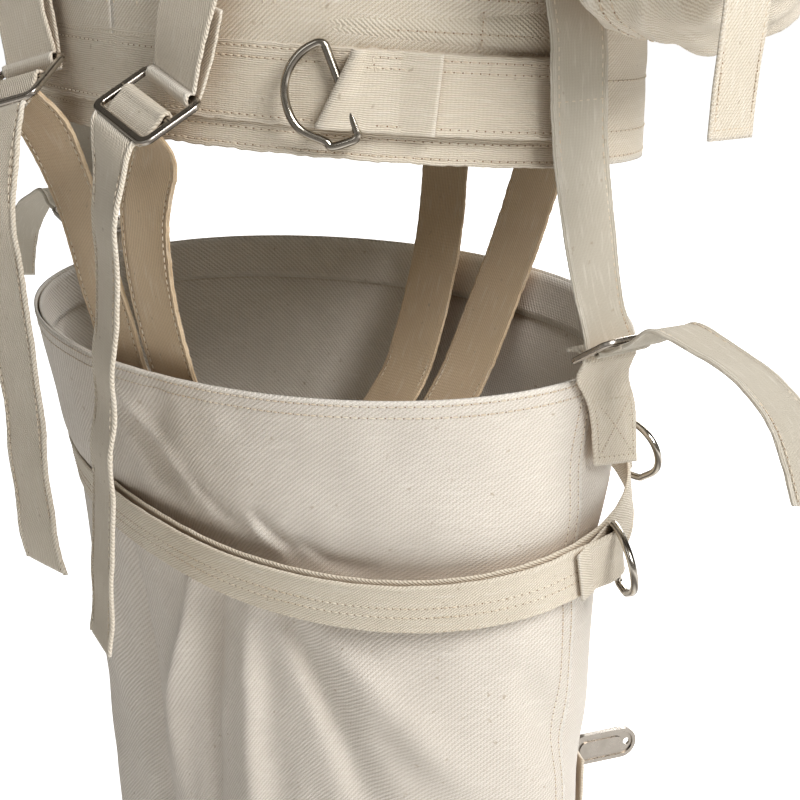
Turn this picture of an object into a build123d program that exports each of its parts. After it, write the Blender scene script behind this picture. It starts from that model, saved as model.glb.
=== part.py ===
"""A canvas safety harness suit, shaped as it is worn, with nobody in it.

A vest with closed crossed sleeves ends in a webbing waistband. Side straps and slide buckles hang a
tapering leg sleeve below it, a pair of crotch straps runs between the legs to slide buckles at the back,
and D-rings on the waist belt and the hip belt are the points where it is tied down.

Millimetres. +Z is up, the wearer faces -Y, and the wearer's left is +X. The parts are shaped round the middle
of the leg sleeve, and are moved together at the end so that the origin is on the floor under the middle of the
whole suit. Positive `side` is the wearer's left and negative is the right.
"""

import os
from math import cos, hypot, radians, sin

from build123d import *

# Driving dimensions
CANVAS = 2.4  # a shell of doubled cotton canvas
WEB = 1.8  # thickness of the cotton webbing
BELT_WIDTH = 37.5  # waist belt, crotch straps and their tails
SIDE_WIDTH = 34.0  # the straps that carry the leg sleeve
HIP_WIDTH = 30.0  # the narrower belt round the hips
GAP = 0.4  # clear space between two stacked layers
SEAM_Y = 10.0  # the side seams lie a little behind the middle
WIRE = 2.0  # radius of the D-ring wire

# Waistband: everything on it stands on one plane, tilted so that the back is higher than the front
WAIST_Z = 599.5
WAIST_TILT = 4.3
WAIST_A, WAIST_B = 187.0, 141.0  # half width and half depth of the vest's outer face
WAIST_TALL = 80.0
BELT_LOW = 13.3  # lower edge of the belt above the vest's hem

# Vest above the waistband: height, half width, half depth, shift to the back
VEST_SECTIONS = (
    (722.0, 183.0, 131.0, 4.0),
    (800.0, 176.0, 122.0, 6.0),
    (880.0, 178.0, 122.0, 6.0),
    (950.0, 184.0, 122.0, 5.0),
    (1005.0, 182.0, 114.0, 4.0),
    (1045.0, 166.0, 100.0, 4.0),
    (1078.0, 132.0, 84.0, 4.0),
    (1100.0, 98.0, 72.0, 4.0),
    (1116.0, 76.0, 64.0, 4.0),
)
# Leg sleeve: the same four numbers
LEG_TOP = 500.0
LEG_TILT = -2.6  # the back of its top edge sits lower than the front
LEG_SECTIONS = (
    (0.0, 166.0, 86.0, 0.0),
    (140.0, 176.0, 89.0, 2.0),
    (280.0, 183.0, 95.0, 5.0),
    (400.0, 184.0, 112.0, 8.0),
    (450.0, 186.0, 126.0, 8.0),
    (520.0, 196.0, 146.0, 5.0),
)
# Sleeve: centre of each section, the way it runs, and its half height and half depth, for the wearer's left
SLEEVE_COMMON = (
    ((165.0, 4, 996), (0.953, 0.0, 0.302), 50, 72),
    ((210.8, 8, 982), (0.93, 0.03, -0.36), 56, 62),
    ((236, 12, 956), (0.62, 0.08, -0.78), 60, 60),
    ((248, 26, 880), (0.12, 0.12, -1.0), 60, 55),
    ((250, 42, 795), (0.00, 0.06, -1.0), 60, 51),
    ((245, 30, 724), (-0.10, -0.75, -0.65), 58, 49),
)
RIGHT_FOREARM = (
    ((231, -36, 708), (-0.28, -1.0, 0.05), 52, 42),
    ((184, -126, 714), (-0.75, -0.75, 0.02), 46, 34),
    ((100, -180, 716), (-1.0, -0.22, 0.0), 42, 30),
    ((0, -190, 712), (-1.0, 0.02, -0.02), 40, 29),
    ((-84, -174, 704), (-1.0, 0.15, -0.04), 34, 9),
)
LEFT_FOREARM = (
    ((231, -36, 718), (-0.28, -1.0, 0.25), 52, 42),
    ((184, -126, 756), (-0.75, -0.75, 0.40), 46, 34),
    ((100, -172, 800), (-1.0, -0.22, 0.42), 42, 30),
    ((0, -172, 828), (-1.0, 0.04, 0.22), 40, 29),
    ((-84, -152, 842), (-1.0, 0.18, 0.16), 34, 9),
)
ARMHOLE_LOW = 924.0  # the armhole's lowest point

RIGHT, LEFT = -1, 1
SIDE_NAME = {RIGHT: "right", LEFT: "left"}
FAR = 600.0
waist = Plane((0, 0, WAIST_Z), x_dir=(1, 0, 0), z_dir=(0, -sin(radians(WAIST_TILT)), cos(radians(WAIST_TILT))))
WAIST_SHIFT = 2.0  # the waistband's middle, towards the back
SUIT_SHIFT = 11.846  # from the leg sleeve's middle to the middle of the whole suit, towards the back


# ---------------------------------------------------------------- general shapes

def unit(v):
    return Vector(*v).normalized()


def oval(half_width, half_depth, shift):
    return Pos(0, shift) * Ellipse(half_width, half_depth)


def level_oval(section, grow):
    z, half_width, half_depth, shift = section
    return Pos(0, 0, z) * oval(half_width + grow, half_depth + grow, shift)


def block(low, high):
    size = [h - l for l, h in zip(low, high)]
    middle = [(h + l) / 2 for l, h in zip(low, high)]
    return Pos(*middle) * Box(*size)


def wedge(start, end, height, low=-5.0):
    """A solid sector round Z from one polar angle to the other, in degrees, to cut a ring with."""
    steps = max(2, int(abs(end - start) // 40) + 1)
    angles = [radians(start + (end - start) * i / steps) for i in range(steps + 1)]
    outline = [(0, 0)] + [(FAR * cos(a), FAR * sin(a)) for a in angles]
    return Pos(0, 0, low) * extrude(make_face(Polyline(*outline, close=True)), height)


def band(half_width, half_depth, shift, low, tall, thick, sector=None):
    """A flat strap standing on its edge round an oval, the whole way or over a sector."""
    ring = oval(half_width + thick, half_depth + thick, shift) - oval(half_width, half_depth, shift)
    solid = Pos(0, 0, low) * extrude(ring, tall)
    return solid if sector is None else solid & wedge(*sector, tall + 2 * FAR, low - FAR)


def section_plane(centre, along, across):
    along = unit(along)
    across = Vector(*across)
    across = (across - along * across.dot(along)).normalized()
    return Plane(Vector(*centre), x_dir=across, z_dir=along)


def smoothed(rows, steps):
    """The rows of numbers given, with rows of a Catmull-Rom curve put in between them."""
    out = []
    for i in range(len(rows) - 1):
        around = rows[max(i - 1, 0)], rows[i], rows[i + 1], rows[min(i + 2, len(rows) - 1)]
        for k in range(steps):
            t = k / steps
            weights = (-t + 2 * t**2 - t**3, 2 - 5 * t**2 + 3 * t**3, t + 4 * t**2 - 3 * t**3, t**3 - t**2)
            out.append(tuple(sum(w * v for w, v in zip(weights, column)) / 2 for column in zip(*around)))
    return out + [tuple(rows[-1])]


def webbing(stations, width, thick=WEB, steps=3):
    """A strap lofted through flat sections. A station is (centre, direction of its width)."""
    rows = smoothed([tuple(p) + tuple(across) for p, across in stations], steps)
    points = [Vector(*row[:3]) for row in rows]
    faces = []
    for i, row in enumerate(rows):
        along = points[min(i + 1, len(points) - 1)] - points[max(i - 1, 0)]
        faces.append(section_plane(points[i], along, row[3:]) * Rectangle(width, thick))
    return loft(faces, ruled=True)


def turned(angle):
    """The width direction of a strap that faces the back when angle is 0."""
    return (cos(radians(angle)), sin(radians(angle)), 0)


# ---------------------------------------------------------------- metal fittings

RING_HALF, RING_DEEP, RING_CORNER = 23.0, 26.0, 3.0
BARREL = WIRE + 0.3  # inside radius of a webbing loop round a ring's bar
LOOP_SLACK = 5.0  # how far the bar can slide in its loop


def d_ring(half=RING_HALF):
    """A wire D: its bar lies on Z, and its bow reaches out along X."""
    c = RING_CORNER
    knee = c * (1 - cos(radians(45)))
    bow_width = RING_DEEP - c
    bow = [(c + bow_width * sin(radians(a)), 0, half * cos(radians(a))) for a in range(0, 181, 30)]
    path = ThreePointArc((0, 0, half - c), (knee, 0, half - knee), (c, 0, half))
    path += Spline(*bow, tangents=[(1, 0, 0), (-1, 0, 0)])
    path += ThreePointArc((c, 0, -half), (knee, 0, knee - half), (0, 0, c - half))
    wire = sweep(Pos(0, 0, half - c) * Circle(WIRE), path)
    return wire + Cylinder(WIRE, 2 * (half - c))


SLIDE_BAR, SLIDE_THICK = 4.4, 3.0
SLIDE_PIN = 1.7  # radius of the middle bar
SLIDE_HOLE = 3.0  # a webbing loop that the flat bar can turn in
CROTCH_SLIDE = (50.0, 36.0)  # width along the bars, and height
SIDE_SLIDE = (45.0, 32.0)


def bar_offset(size):
    """Distance from a slide buckle's middle to the middle of its top or bottom bar."""
    return (size[1] - SLIDE_BAR) / 2


def slide_buckle(size):
    """A flat frame in the XY plane with a round middle bar along X."""
    wide, tall = size
    outer = RectangleRounded(wide, tall, 6.0)
    inner = RectangleRounded(wide - 2 * SLIDE_BAR, tall - 2 * SLIDE_BAR, 2.4)
    frame = Pos(0, 0, -SLIDE_THICK / 2) * extrude(outer - inner, SLIDE_THICK)
    frame = fillet(frame.edges().filter_by(Plane.XY), 1.1)
    return frame + Rot(0, 90, 0) * Cylinder(SLIDE_PIN, wide - SLIDE_BAR)


def webbing_barrel(width, hole, thick=WEB):
    """A loop of webbing seen as a short tube along X."""
    tube = Cylinder(hole + thick, width) - Cylinder(hole, width + 2)
    return Rot(0, 90, 0) * tube


# ---------------------------------------------------------------- vest and leg sleeve

def sleeve_stations(side):
    forearm = RIGHT_FOREARM if side == RIGHT else LEFT_FOREARM
    for centre, along, tall, deep in SLEEVE_COMMON + forearm:
        yield (centre[0] * side, centre[1], centre[2]), (along[0] * side, along[1], along[2]), tall, deep


def sleeve_solid(side, grow, start, end):
    """The sleeve filled in. `start` and `end` move its first and last sections along the sleeve."""
    stations = list(sleeve_stations(side))
    shifts = [start] + [0.0] * (len(stations) - 2) + [end]
    faces = []
    for i, (centre, along, tall, deep) in enumerate(stations):
        across = (0, -1, 0) if i < len(SLEEVE_COMMON) else (0, 0, 1)
        plane = section_plane(Vector(*centre) + unit(along) * shifts[i], along, across)
        faces.append(plane * Ellipse(tall + grow, deep + grow))
    return loft(faces)


def sleeve(side):
    """A hollow arm, open at the shoulder and sewn shut at the end."""
    return sleeve_solid(side, 0, GAP, 0) - sleeve_solid(side, -CANVAS, -4.0, -CANVAS)


def beyond_armhole(side):
    """The space outside the flat oval seam where a sleeve joins the vest."""
    centre, along, _, _ = next(sleeve_stations(side))
    plane = section_plane(centre, along, (0, -1, 0))
    return (plane * (Pos(0, 0, FAR / 2) * Box(FAR, FAR, FAR))) & block((-FAR, -FAR, ARMHOLE_LOW), (FAR, FAR, 2 * FAR))


def vest_solid(grow, overrun):
    """The vest filled in: a straight oval on the waist plane, then a loft over the shoulders."""
    base = oval(WAIST_A + grow, WAIST_B + grow, WAIST_SHIFT)
    lower = waist * (Pos(0, 0, -overrun) * extrude(base, WAIST_TALL + overrun))
    faces = [waist * (Pos(0, 0, WAIST_TALL) * base)] + [level_oval(s, grow) for s in VEST_SECTIONS]
    upper = loft(faces)
    neck = level_oval(VEST_SECTIONS[-1], grow)
    return lower + upper + (extrude(neck, overrun) if overrun else None)


def vest_shell():
    shell = vest_solid(0, 0) - vest_solid(-CANVAS, 10)
    for side in (RIGHT, LEFT):
        shell -= beyond_armhole(side)
    return shell


def vest_panels():
    shell = vest_shell()
    half_gap = GAP / 2
    front = shell & block((-FAR, -FAR, 0), (FAR, SEAM_Y - half_gap, 2 * FAR))
    back = shell & block((-FAR, SEAM_Y + half_gap, 0), (FAR, FAR, 2 * FAR))
    yield "vest_front_panel", front
    yield "vest_back_panel_right", back & block((-FAR, 0, 0), (-half_gap, FAR, 2 * FAR))
    yield "vest_back_panel_left", back & block((half_gap, 0, 0), (FAR, FAR, 2 * FAR))


def collar():
    """A standing band round the neck opening."""
    z, half_width, half_depth, shift = VEST_SECTIONS[-1]
    return band(half_width - CANVAS, half_depth - CANVAS, shift, z + GAP, 26.0, CANVAS)


def leg_solid(grow):
    return loft([level_oval(s, grow) for s in LEG_SECTIONS])


def below_leg_edge(solid):
    """Cuts a solid off at the leg sleeve's tilted top edge."""
    lid = Pos(0, 0, LEG_TOP) * Rot(LEG_TILT, 0, 0) * block((-FAR, -FAR, 0), (FAR, FAR, FAR))
    return solid - lid


def leg_panels():
    tube = leg_solid(0) - leg_solid(-CANVAS)
    tube = below_leg_edge(tube)
    yield "leg_sleeve_front", tube & block((-FAR, -FAR, -1), (FAR, SEAM_Y - GAP / 2, FAR))
    yield "leg_sleeve_back", tube & block((-FAR, SEAM_Y + GAP / 2, -1), (FAR, FAR, FAR))


def leg_top_facing():
    """The doubled strip inside the leg sleeve's top edge."""
    grow = -CANVAS - GAP
    strip = leg_solid(grow) - leg_solid(grow - 1.6)
    strip = below_leg_edge(strip)
    low = Pos(0, 0, LEG_TOP - 26.0) * Rot(LEG_TILT, 0, 0) * block((-FAR, -FAR, -FAR), (FAR, FAR, 0))
    return strip - low


def leg_bottom_hem():
    z, half_width, half_depth, shift = LEG_SECTIONS[0]
    return band(half_width + 2.2, half_depth + 2.2, shift, 3.0, 24.0, 1.6)


# ---------------------------------------------------------------- waistband

BACK_SECTOR = (4.5, 175.5)
BELT_OUT = GAP + 1.6 + GAP  # how far the belt's inner face stands off the vest
STACK_OUT = BELT_OUT + 2.2 + GAP  # the same for the layer on top of the belt
RING_POLAR = 138.5  # polar angle of the D-ring's bar, seen from above
RING_LEAN = 24.0  # the fold that holds the D-ring is not square to the belt


def waist_band(out, low, tall, thick, sector):
    return waist * band(WAIST_A + out, WAIST_B + out, WAIST_SHIFT, low, tall, thick, sector)


def polar_point(half_width, half_depth, shift, polar):
    """Point of an oval at a polar angle round its middle, and its outward direction there."""
    a = radians(polar)
    reach = 1 / hypot(cos(a) / half_width, sin(a) / half_depth)
    x, y = reach * cos(a), reach * sin(a)
    normal = Vector(x / half_width**2, y / half_depth**2, 0).normalized()
    return Vector(x, y + shift, 0), normal


def loop_place(half_width, half_depth, shift, polar, height, side, lean, lift):
    """Where a ring's bar lies on a belt: Z along the bar, X towards the bow, Y out of the belt for the left."""
    point, normal = polar_point(half_width, half_depth, shift, polar)
    point += normal * lift
    bow = Vector(-normal.Y, normal.X, 0) * side
    bar = Vector(0, 0, cos(radians(lean))) + bow * sin(radians(lean))
    return Plane(point + Vector(0, 0, height), x_dir=bow - bar * bow.dot(bar), z_dir=bar)


def ring_strap(half_width, half_depth, shift, low, tall, ends, folds, lean, half_bar):
    """A doubled strap on top of a belt. `folds` is the polar angle and bow side of each ring it holds."""
    strap = band(half_width, half_depth, shift, low, tall, STACK_THICK, ends)
    length = min(tall, 2 * (half_bar - RING_CORNER)) - 1
    for polar, side in folds:
        place = loop_place(half_width, half_depth, shift, polar, low + tall / 2, side, lean, BARREL + WEB)
        beyond = place * block((0, -20, -2 * tall), (60, 20, 2 * tall))
        strap = strap - beyond + place * loose_loop(BARREL + WEB, length)
        strap -= place * loose_loop(BARREL, 2 * tall)
    return strap


def loose_loop(radius, length):
    """The slack turn of webbing round a ring's bar: wide enough for the bar to slide a little."""
    outline = Pos(LOOP_SLACK / 2, 0) * SlotCenterToCenter(LOOP_SLACK, 2 * radius)
    return Pos(0, 0, -length / 2) * extrude(outline, length)


WAIST_RING_PLACES = {
    LEFT: (180 - RING_POLAR, LEFT),
    RIGHT: (RING_POLAR, RIGHT),
}
STACK_THICK = 3.6  # the ring strap is folded back on itself


def waist_ring_place(side):
    a, b = WAIST_A + STACK_OUT, WAIST_B + STACK_OUT
    polar, bow_side = WAIST_RING_PLACES[side]
    return loop_place(a, b, WAIST_SHIFT, polar, BELT_LOW + BELT_WIDTH / 2, bow_side, RING_LEAN, BARREL + WEB)


def waist_ring_strap(side):
    a, b = WAIST_A + STACK_OUT, WAIST_B + STACK_OUT
    polar, bow_side = WAIST_RING_PLACES[side]
    ends = (polar - 8, 172.0) if side == RIGHT else (8.0, polar + 8)
    low, tall = BELT_LOW + 0.5, BELT_WIDTH - 1
    return waist * ring_strap(a, b, WAIST_SHIFT, low, tall, ends, [(polar, bow_side)], RING_LEAN, RING_HALF)


REST_LIFT = 6.0  # degrees that a ring stands off the belt at rest


def waist_d_ring(side):
    ring = Rot(0, 0, -REST_LIFT * side) * d_ring()
    return waist * (waist_ring_place(side) * ring)


def casing(side):
    """The padded fold of the vest above the belt, on each side of the back."""
    sector = (126.0, 171.0) if side == RIGHT else (9.0, 54.0)
    return waist_band(GAP, BELT_LOW + BELT_WIDTH + 1.5, 17.0, 5.0, sector)


# ---------------------------------------------------------------- side straps and leg sleeve carriers

SIDE_BUCKLE = Vector(-211.0, 9.0, 517.0)  # middle of the right side buckle
SIDE_BAR_RUN = Vector(-0.16, -0.987, 0.0)  # its bars run to the front
SIDE_BUCKLE_UP = Vector(-0.845, 0.137, 0.517)  # from its bottom bar to its top bar: nearly flat, pointing out
SIDE_EDGE = bar_offset(SIDE_SLIDE)
CROTCH_BUCKLE = Vector(-52.0, 164.5, 630.5)
CROTCH_BAR_RUN = Vector(-0.954, 0.145, -0.262)  # its bars run outwards and down
CROTCH_BUCKLE_UP = Vector(-0.264, -0.818, 0.511)
CROTCH_EDGE = bar_offset(CROTCH_SLIDE)


def buckle_plane(middle, bar_run, up):
    """X along the bars, Y from the bottom bar to the top bar, Z out of the garment."""
    bar_run = bar_run.normalized()
    return Plane(middle, x_dir=bar_run, z_dir=bar_run.cross(up).normalized())


def side_buckle_plane():
    return buckle_plane(SIDE_BUCKLE, SIDE_BAR_RUN, SIDE_BUCKLE_UP)


def crotch_buckle_plane():
    return buckle_plane(CROTCH_BUCKLE, CROTCH_BAR_RUN, CROTCH_BUCKLE_UP)


def mirrored(shape, side):
    """Right-hand shapes are modelled first; the left one is their mirror image."""
    return shape if side == RIGHT else mirror(shape, Plane.YZ)


def loop_on_bar(plane, y, width, hole):
    """The round turn of a strap on a buckle's bar, as a solid and as the hole to cut for the bar."""
    place = plane * Pos(0, y, 0)
    return place * webbing_barrel(width, hole), place * (Rot(0, 90, 0) * Cylinder(hole, 2 * width))


def side_strap():
    stations = [
        ((-190.0, 31.0, 688.0), turned(80)),
        ((-196.0, 32.0, 664.0), turned(80)),
        ((-198.5, 33.0, 640.0), turned(80)),
        ((-198.5, 30.0, 610.0), turned(81)),
        ((-197.5, 19.0, 568.0), turned(84)),
        ((-198.0, 13.0, 545.0), turned(87)),
        ((-201.0, 10.5, 531.0), turned(90)),
    ]
    return webbing(stations, SIDE_WIDTH)


def side_buckle():
    return side_buckle_plane() * slide_buckle(SIDE_SLIDE)


def side_loop():
    """The side strap's turn round the middle bar, and the short leg over the outer bar."""
    plane = side_buckle_plane()
    turn, hole = loop_on_bar(plane, 0, SIDE_WIDTH, SLIDE_PIN + 0.3)
    leg_points = [(0, 2.0, 1.2), (0, 7.5, 2.6), (0, SIDE_EDGE, 3.4), (0, SIDE_EDGE + 3.0, 3.6)]
    leg = webbing([(p, (1, 0, 0)) for p in leg_points], SIDE_WIDTH)
    return turn + plane * leg - hole


def side_tail():
    """The free end of the side strap: it springs out over the buckle and falls away."""
    plane = side_buckle_plane()
    start, beyond = (plane.from_local_coords(Vector(0, SIDE_EDGE + y, 3.6)) for y in (5.4, 11.0))
    bars = tuple(-SIDE_BAR_RUN)
    stations = [
        (tuple(start), bars),
        (tuple(beyond), bars),
        ((-245.0, 11.0, 531.5), (0.16, 0.98, 0.05)),
        ((-263.0, 7.0, 522.0), (0.18, 0.96, 0.12)),
        ((-284.0, 3.0, 511.0), (0.22, 0.95, 0.18)),
        ((-303.0, -1.0, 491.0), (0.24, 0.95, 0.20)),
        ((-315.5, -4.0, 460.0), (0.24, 0.95, 0.20)),
    ]
    return webbing(stations, SIDE_WIDTH - 2)


def side_tab():
    """A canvas tab sewn to the leg sleeve and folded round the buckle's bottom bar."""
    plane = side_buckle_plane()
    width = SIDE_WIDTH + 2 - 1
    turn, hole = loop_on_bar(plane, -SIDE_EDGE, width, SLIDE_HOLE)
    hinge = plane.from_local_coords(Vector(0, -SIDE_EDGE, 0))
    plate = webbing([
        ((hinge.X + 2.0, hinge.Y - 0.5, hinge.Z - 3.8), (0.16, 0.987, 0)),
        ((-197.6, hinge.Y - 2.5, hinge.Z - 12.0), (0.14, 0.98, 0.06)),
        ((-194.5, -8.0, 478.0), (0.06, 0.98, 0.14)),
        ((-190.5, -18.0, 446.0), (0.02, 0.98, 0.16)),
    ], width)
    return plate + turn - hole


# ---------------------------------------------------------------- crotch straps and their buckles

def crotch_buckle():
    return crotch_buckle_plane() * slide_buckle(CROTCH_SLIDE)


def crotch_loop():
    """The crotch strap's turn round the middle bar, ending behind the bottom bar."""
    plane = crotch_buckle_plane()
    turn, hole = loop_on_bar(plane, 0, BELT_WIDTH, SLIDE_PIN + 0.3)
    leg_points = [(0, -2.0, 2.4), (0, -6.0, 1.6), (0, -10.5, -1.4), (0, -CROTCH_EDGE + 2.0, -2.9)]
    leg = webbing([(p, (1, 0, 0)) for p in leg_points], BELT_WIDTH)
    return turn + plane * leg - hole


# Courses of the two tails below their buckles: x, y, z and the turn of the width, as for a right-hand tail
RIGHT_TAIL = ((-49, 188, 588, -22), (-47, 188, 548, -31), (-41, 188, 490, -35), (-34, 187, 430, -34),
              (-24, 184, 358, -36))
LEFT_TAIL = ((-47, 188, 585, -10), (-40, 189, 548, -2), (-31, 188, 490, 2), (-28, 186, 430, 4),
             (-23, 183, 386, 2))


def crotch_tail(side):
    """The free end of the crotch strap, hanging and slowly twisting."""
    plane = crotch_buckle_plane()
    start, below = (plane.from_local_coords(Vector(0, -CROTCH_EDGE - y, -3.1)) for y in (1.0, 5.0))
    bars = tuple(-CROTCH_BAR_RUN)
    stations = [(tuple(start), bars), (tuple(below), bars)]
    course = RIGHT_TAIL if side == RIGHT else LEFT_TAIL
    stations += [((x, y, z), turned(angle)) for x, y, z, angle in course]
    return mirrored(webbing(stations, BELT_WIDTH), side)


def crotch_strap():
    """From the vest's front hem, down between the legs and up to the buckle at the back."""
    stations = [
        ((-42.0, -143.5, 622.0), (1, 0, 0)),
        ((-41.0, -141.5, 596.0), (1, 0, 0)),
        ((-36.0, -134.0, 555.0), (1, 0, 0)),
        ((-28.0, -117.0, 500.0), (1, 0, 0)),
        ((-22.0, -86.0, 438.0), (1, 0, 0)),
        ((-21.0, -42.0, 400.0), (1, 0, 0)),
        ((-21.0, 15.0, 390.0), (1, 0, 0)),
        ((-21.0, 72.0, 412.0), (1, 0, 0)),
        ((-21.0, 118.0, 462.0), (1, 0, 0)),
        ((-21.0, 139.0, 520.0), (1, 0, 0.05)),
        ((-26.0, 149.0, 570.0), (1, 0, 0.15)),
        ((-44.0, 154.5, 606.5), (0.98, -0.10, 0.24)),
        ((-50.5, 157.0, 622.5), (0.95, -0.14, 0.26)),
    ]
    return webbing(stations, BELT_WIDTH)


def hanger():
    """The doubled strap on the vest's back that carries a crotch buckle."""
    plane = crotch_buckle_plane()
    turn, hole = loop_on_bar(plane, CROTCH_EDGE, BELT_WIDTH, SLIDE_HOLE)
    bars = tuple(-CROTCH_BAR_RUN)
    lower = plane.from_local_coords(Vector(0, CROTCH_EDGE + 3.4, 1.6))
    strap = webbing([
        (tuple(lower), bars),
        ((-63.0, 150.5, 663.0), (0.97, -0.06, 0.24)),
        ((-73.0, 147.0, 700.0), (1, 0.04, 0.22)),
        ((-81.0, 142.0, 740.0), (1, 0.12, 0.18)),
        ((-88.0, 136.0, 785.0), (1, 0.24, 0.14)),
        ((-92.0, 131.0, 828.0), (1, 0.34, 0.10)),
    ], BELT_WIDTH, 3.6)
    return strap + turn - hole


# ---------------------------------------------------------------- hip belt

HIP_Z, HIP_TILT, HIP_ROLL = 392.0, -14.0, 2.5  # the belt sags at the back, and its left side is a little higher
HIP_A, HIP_B, HIP_X, HIP_Y = 190.5, 130.0, -2.0, -1.0
HIP_ACROSS = Vector(cos(radians(HIP_ROLL)), 0, sin(radians(HIP_ROLL)))
HIP_BACK = Vector(0, cos(radians(HIP_TILT)), sin(radians(HIP_TILT)))
hip = Plane((HIP_X, HIP_Y, HIP_Z), x_dir=HIP_ACROSS, z_dir=HIP_ACROSS.cross(HIP_BACK))
HIP_BASE = 2.2
HIP_OUT = HIP_BASE + GAP
HIP_REAR = (-4.0, 184.0)
HIP_FRONT = (216.0, 324.0)
HIP_RING_HALF = 18.5
# name of a hip ring: polar angle of its bar, the side its bow points to, and how far it stands out
HIP_RINGS = {
    "hip_d_ring_right": (184.0, LEFT, 130.0),
    "hip_d_ring_left": (-4.0, RIGHT, 130.0),
    "front_d_ring_right": (216.0, RIGHT, 30.0),
    "front_d_ring_left": (324.0, LEFT, 30.0),
}


def hip_strap(sector, ends):
    low, tall = 0.5, HIP_WIDTH - 1
    return hip * ring_strap(HIP_A + HIP_OUT, HIP_B + HIP_OUT, 0, low, tall, sector, ends, 0, HIP_RING_HALF)


def hip_ring_place(name):
    polar, side, _ = HIP_RINGS[name]
    return loop_place(HIP_A + HIP_OUT, HIP_B + HIP_OUT, 0, polar, HIP_WIDTH / 2, side, 0, BARREL + WEB)


def hip_d_ring(name):
    _, side, lift = HIP_RINGS[name]
    return hip * (hip_ring_place(name) * (Rot(0, 0, -lift * side) * d_ring(HIP_RING_HALF)))


# ---------------------------------------------------------------- thigh strap and its lock plate

THIGH_Z, THIGH_A, THIGH_B = 211.0, 185.0, 96.5
THIGH_SECTOR = (200.0, 340.0)
THIGH_Y = 4.0
PLATE_POLAR = 213.0
PLATE_LONG, PLATE_WIDE, PLATE_THICK = 44.0, 19.0, 1.6
PIN_R = 1.5


def thigh_strap():
    strap = Pos(0, 0, THIGH_Z) * band(THIGH_A, THIGH_B, THIGH_Y, 0, BELT_WIDTH, 2.0, THIGH_SECTOR)
    return strap - rivet_holes()


def thigh_frame(polar, lift):
    """On the thigh strap: Z out of the strap, Y up."""
    point, normal = polar_point(THIGH_A + 2.0, THIGH_B + 2.0, THIGH_Y, polar)
    point += normal * lift + Vector(0, 0, THIGH_Z + BELT_WIDTH / 2)
    along = Vector(0, 0, 1).cross(normal)
    return Plane(point, x_dir=along, z_dir=normal)


PLATE_EAR, PLATE_PIN_OUT = 2.6, 6.5  # thickness of an ear, and height of the pin above the strap
RIVET_AT = (-6.6, 6.6)
RIVET_R, RIVET_HEAD_R = 1.4, 2.6


def rivet_holes():
    place = thigh_frame(PLATE_POLAR, 0)
    return Compound([place * (Pos(x, 0, 0) * Cylinder(RIVET_R + 0.1, 12)) for x in RIVET_AT])


def lock_base():
    """A riveted base with two ears for the lock plate's pin."""
    shape = Pos(0, 0, 0.6) * extrude(RectangleRounded(20, 26, 4), 1.2)
    for y in (-8.3, 8.3):
        ear = Pos(0, y, 4.0) * Box(6.0, PLATE_EAR, 5.0)
        shape += ear + Pos(0, y, PLATE_PIN_OUT) * Rot(90, 0, 0) * Cylinder(3.0, PLATE_EAR)
    shape -= Pos(0, 0, PLATE_PIN_OUT) * Rot(90, 0, 0) * Cylinder(PIN_R + 0.05, 40)
    return thigh_frame(PLATE_POLAR, 0) * shape - rivet_holes()


def lock_pin():
    head = Cylinder(2.4, 1.2)
    pin = Cylinder(PIN_R, 21.0) + Pos(0, 0, 10.9) * head + Pos(0, 0, -10.9) * head
    return thigh_frame(PLATE_POLAR, 0) * (Pos(0, 0, PLATE_PIN_OUT) * Rot(90, 0, 0) * pin)


LOCK_HOLE, LOCK_HOLE_AT = 2.2, 16.0  # radius, and distance from the plate's middle


def lock_plate():
    """An oval plate with a rolled rim, a raised tongue and a pin hole. It stands straight out at rest."""
    outline = SlotOverall(PLATE_LONG, PLATE_WIDE)
    plate = Pos(0, 0, -PLATE_THICK / 2) * extrude(outline, PLATE_THICK)
    rim_tall = PLATE_THICK + 1.8
    rim = Pos(0, 0, -rim_tall / 2) * extrude(outline - SlotOverall(PLATE_LONG - 4.4, PLATE_WIDE - 4.4), rim_tall)
    tongue = Pos(-1.5, 0, PLATE_THICK / 2) * extrude(SlotOverall(PLATE_LONG - 15, PLATE_WIDE - 9.5), 0.8)
    plate = plate + rim + tongue - Pos(LOCK_HOLE_AT, 0, 0) * Cylinder(LOCK_HOLE, 10)
    knuckle_x = -PLATE_LONG / 2 - 2.0
    arm = Pos(knuckle_x + 3.0, 0, 0) * Box(6.0, 13.0, PLATE_THICK)
    turn = Pos(knuckle_x, 0, 0) * Rot(90, 0, 0)
    plate = plate + arm + turn * Cylinder(2.9, 13.0) - turn * Cylinder(PIN_R + 0.05, 40)
    upright = Pos(0, 0, PLATE_PIN_OUT) * Rot(0, -90, 0) * Pos(-knuckle_x, 0, 0)
    return thigh_frame(PLATE_POLAR, 0) * (upright * plate)


def rivets():
    """Two solid rivets through the lock base and the thigh strap."""
    place = thigh_frame(PLATE_POLAR, 0)
    shank = Cylinder(RIVET_R, 4.4)
    head = Pos(0, 0, 2.2) * Cylinder(RIVET_HEAD_R, 0.8)
    return Compound([place * (Pos(x, 0, 0.1) * (shank + head)) for x in RIVET_AT])


# ---------------------------------------------------------------- sleeve straps and back closures

def arm_tail(side):
    """A canvas strap sewn to the sleeve above the elbow, hanging outside it."""
    stations = [
        ((-304.8, 55.0, 828.0), (0.16, 1, 0)),
        ((-304.5, 56.5, 780.0), (0.16, 1, 0)),
        ((-303.5, 59.0, 720.0), (0.12, 1, 0)),
        ((-301.5, 61.0, 670.0), (0.06, 1, 0.03)),
        ((-299.0, 62.0, 632.0), (0.04, 1, 0.04)),
    ]
    return mirrored(webbing(stations, 29.0, 2.0), side)


CLOSURES = {"upper": 955.0, "lower": 868.0}
CLOSURE_HOLE = 1.8


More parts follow.
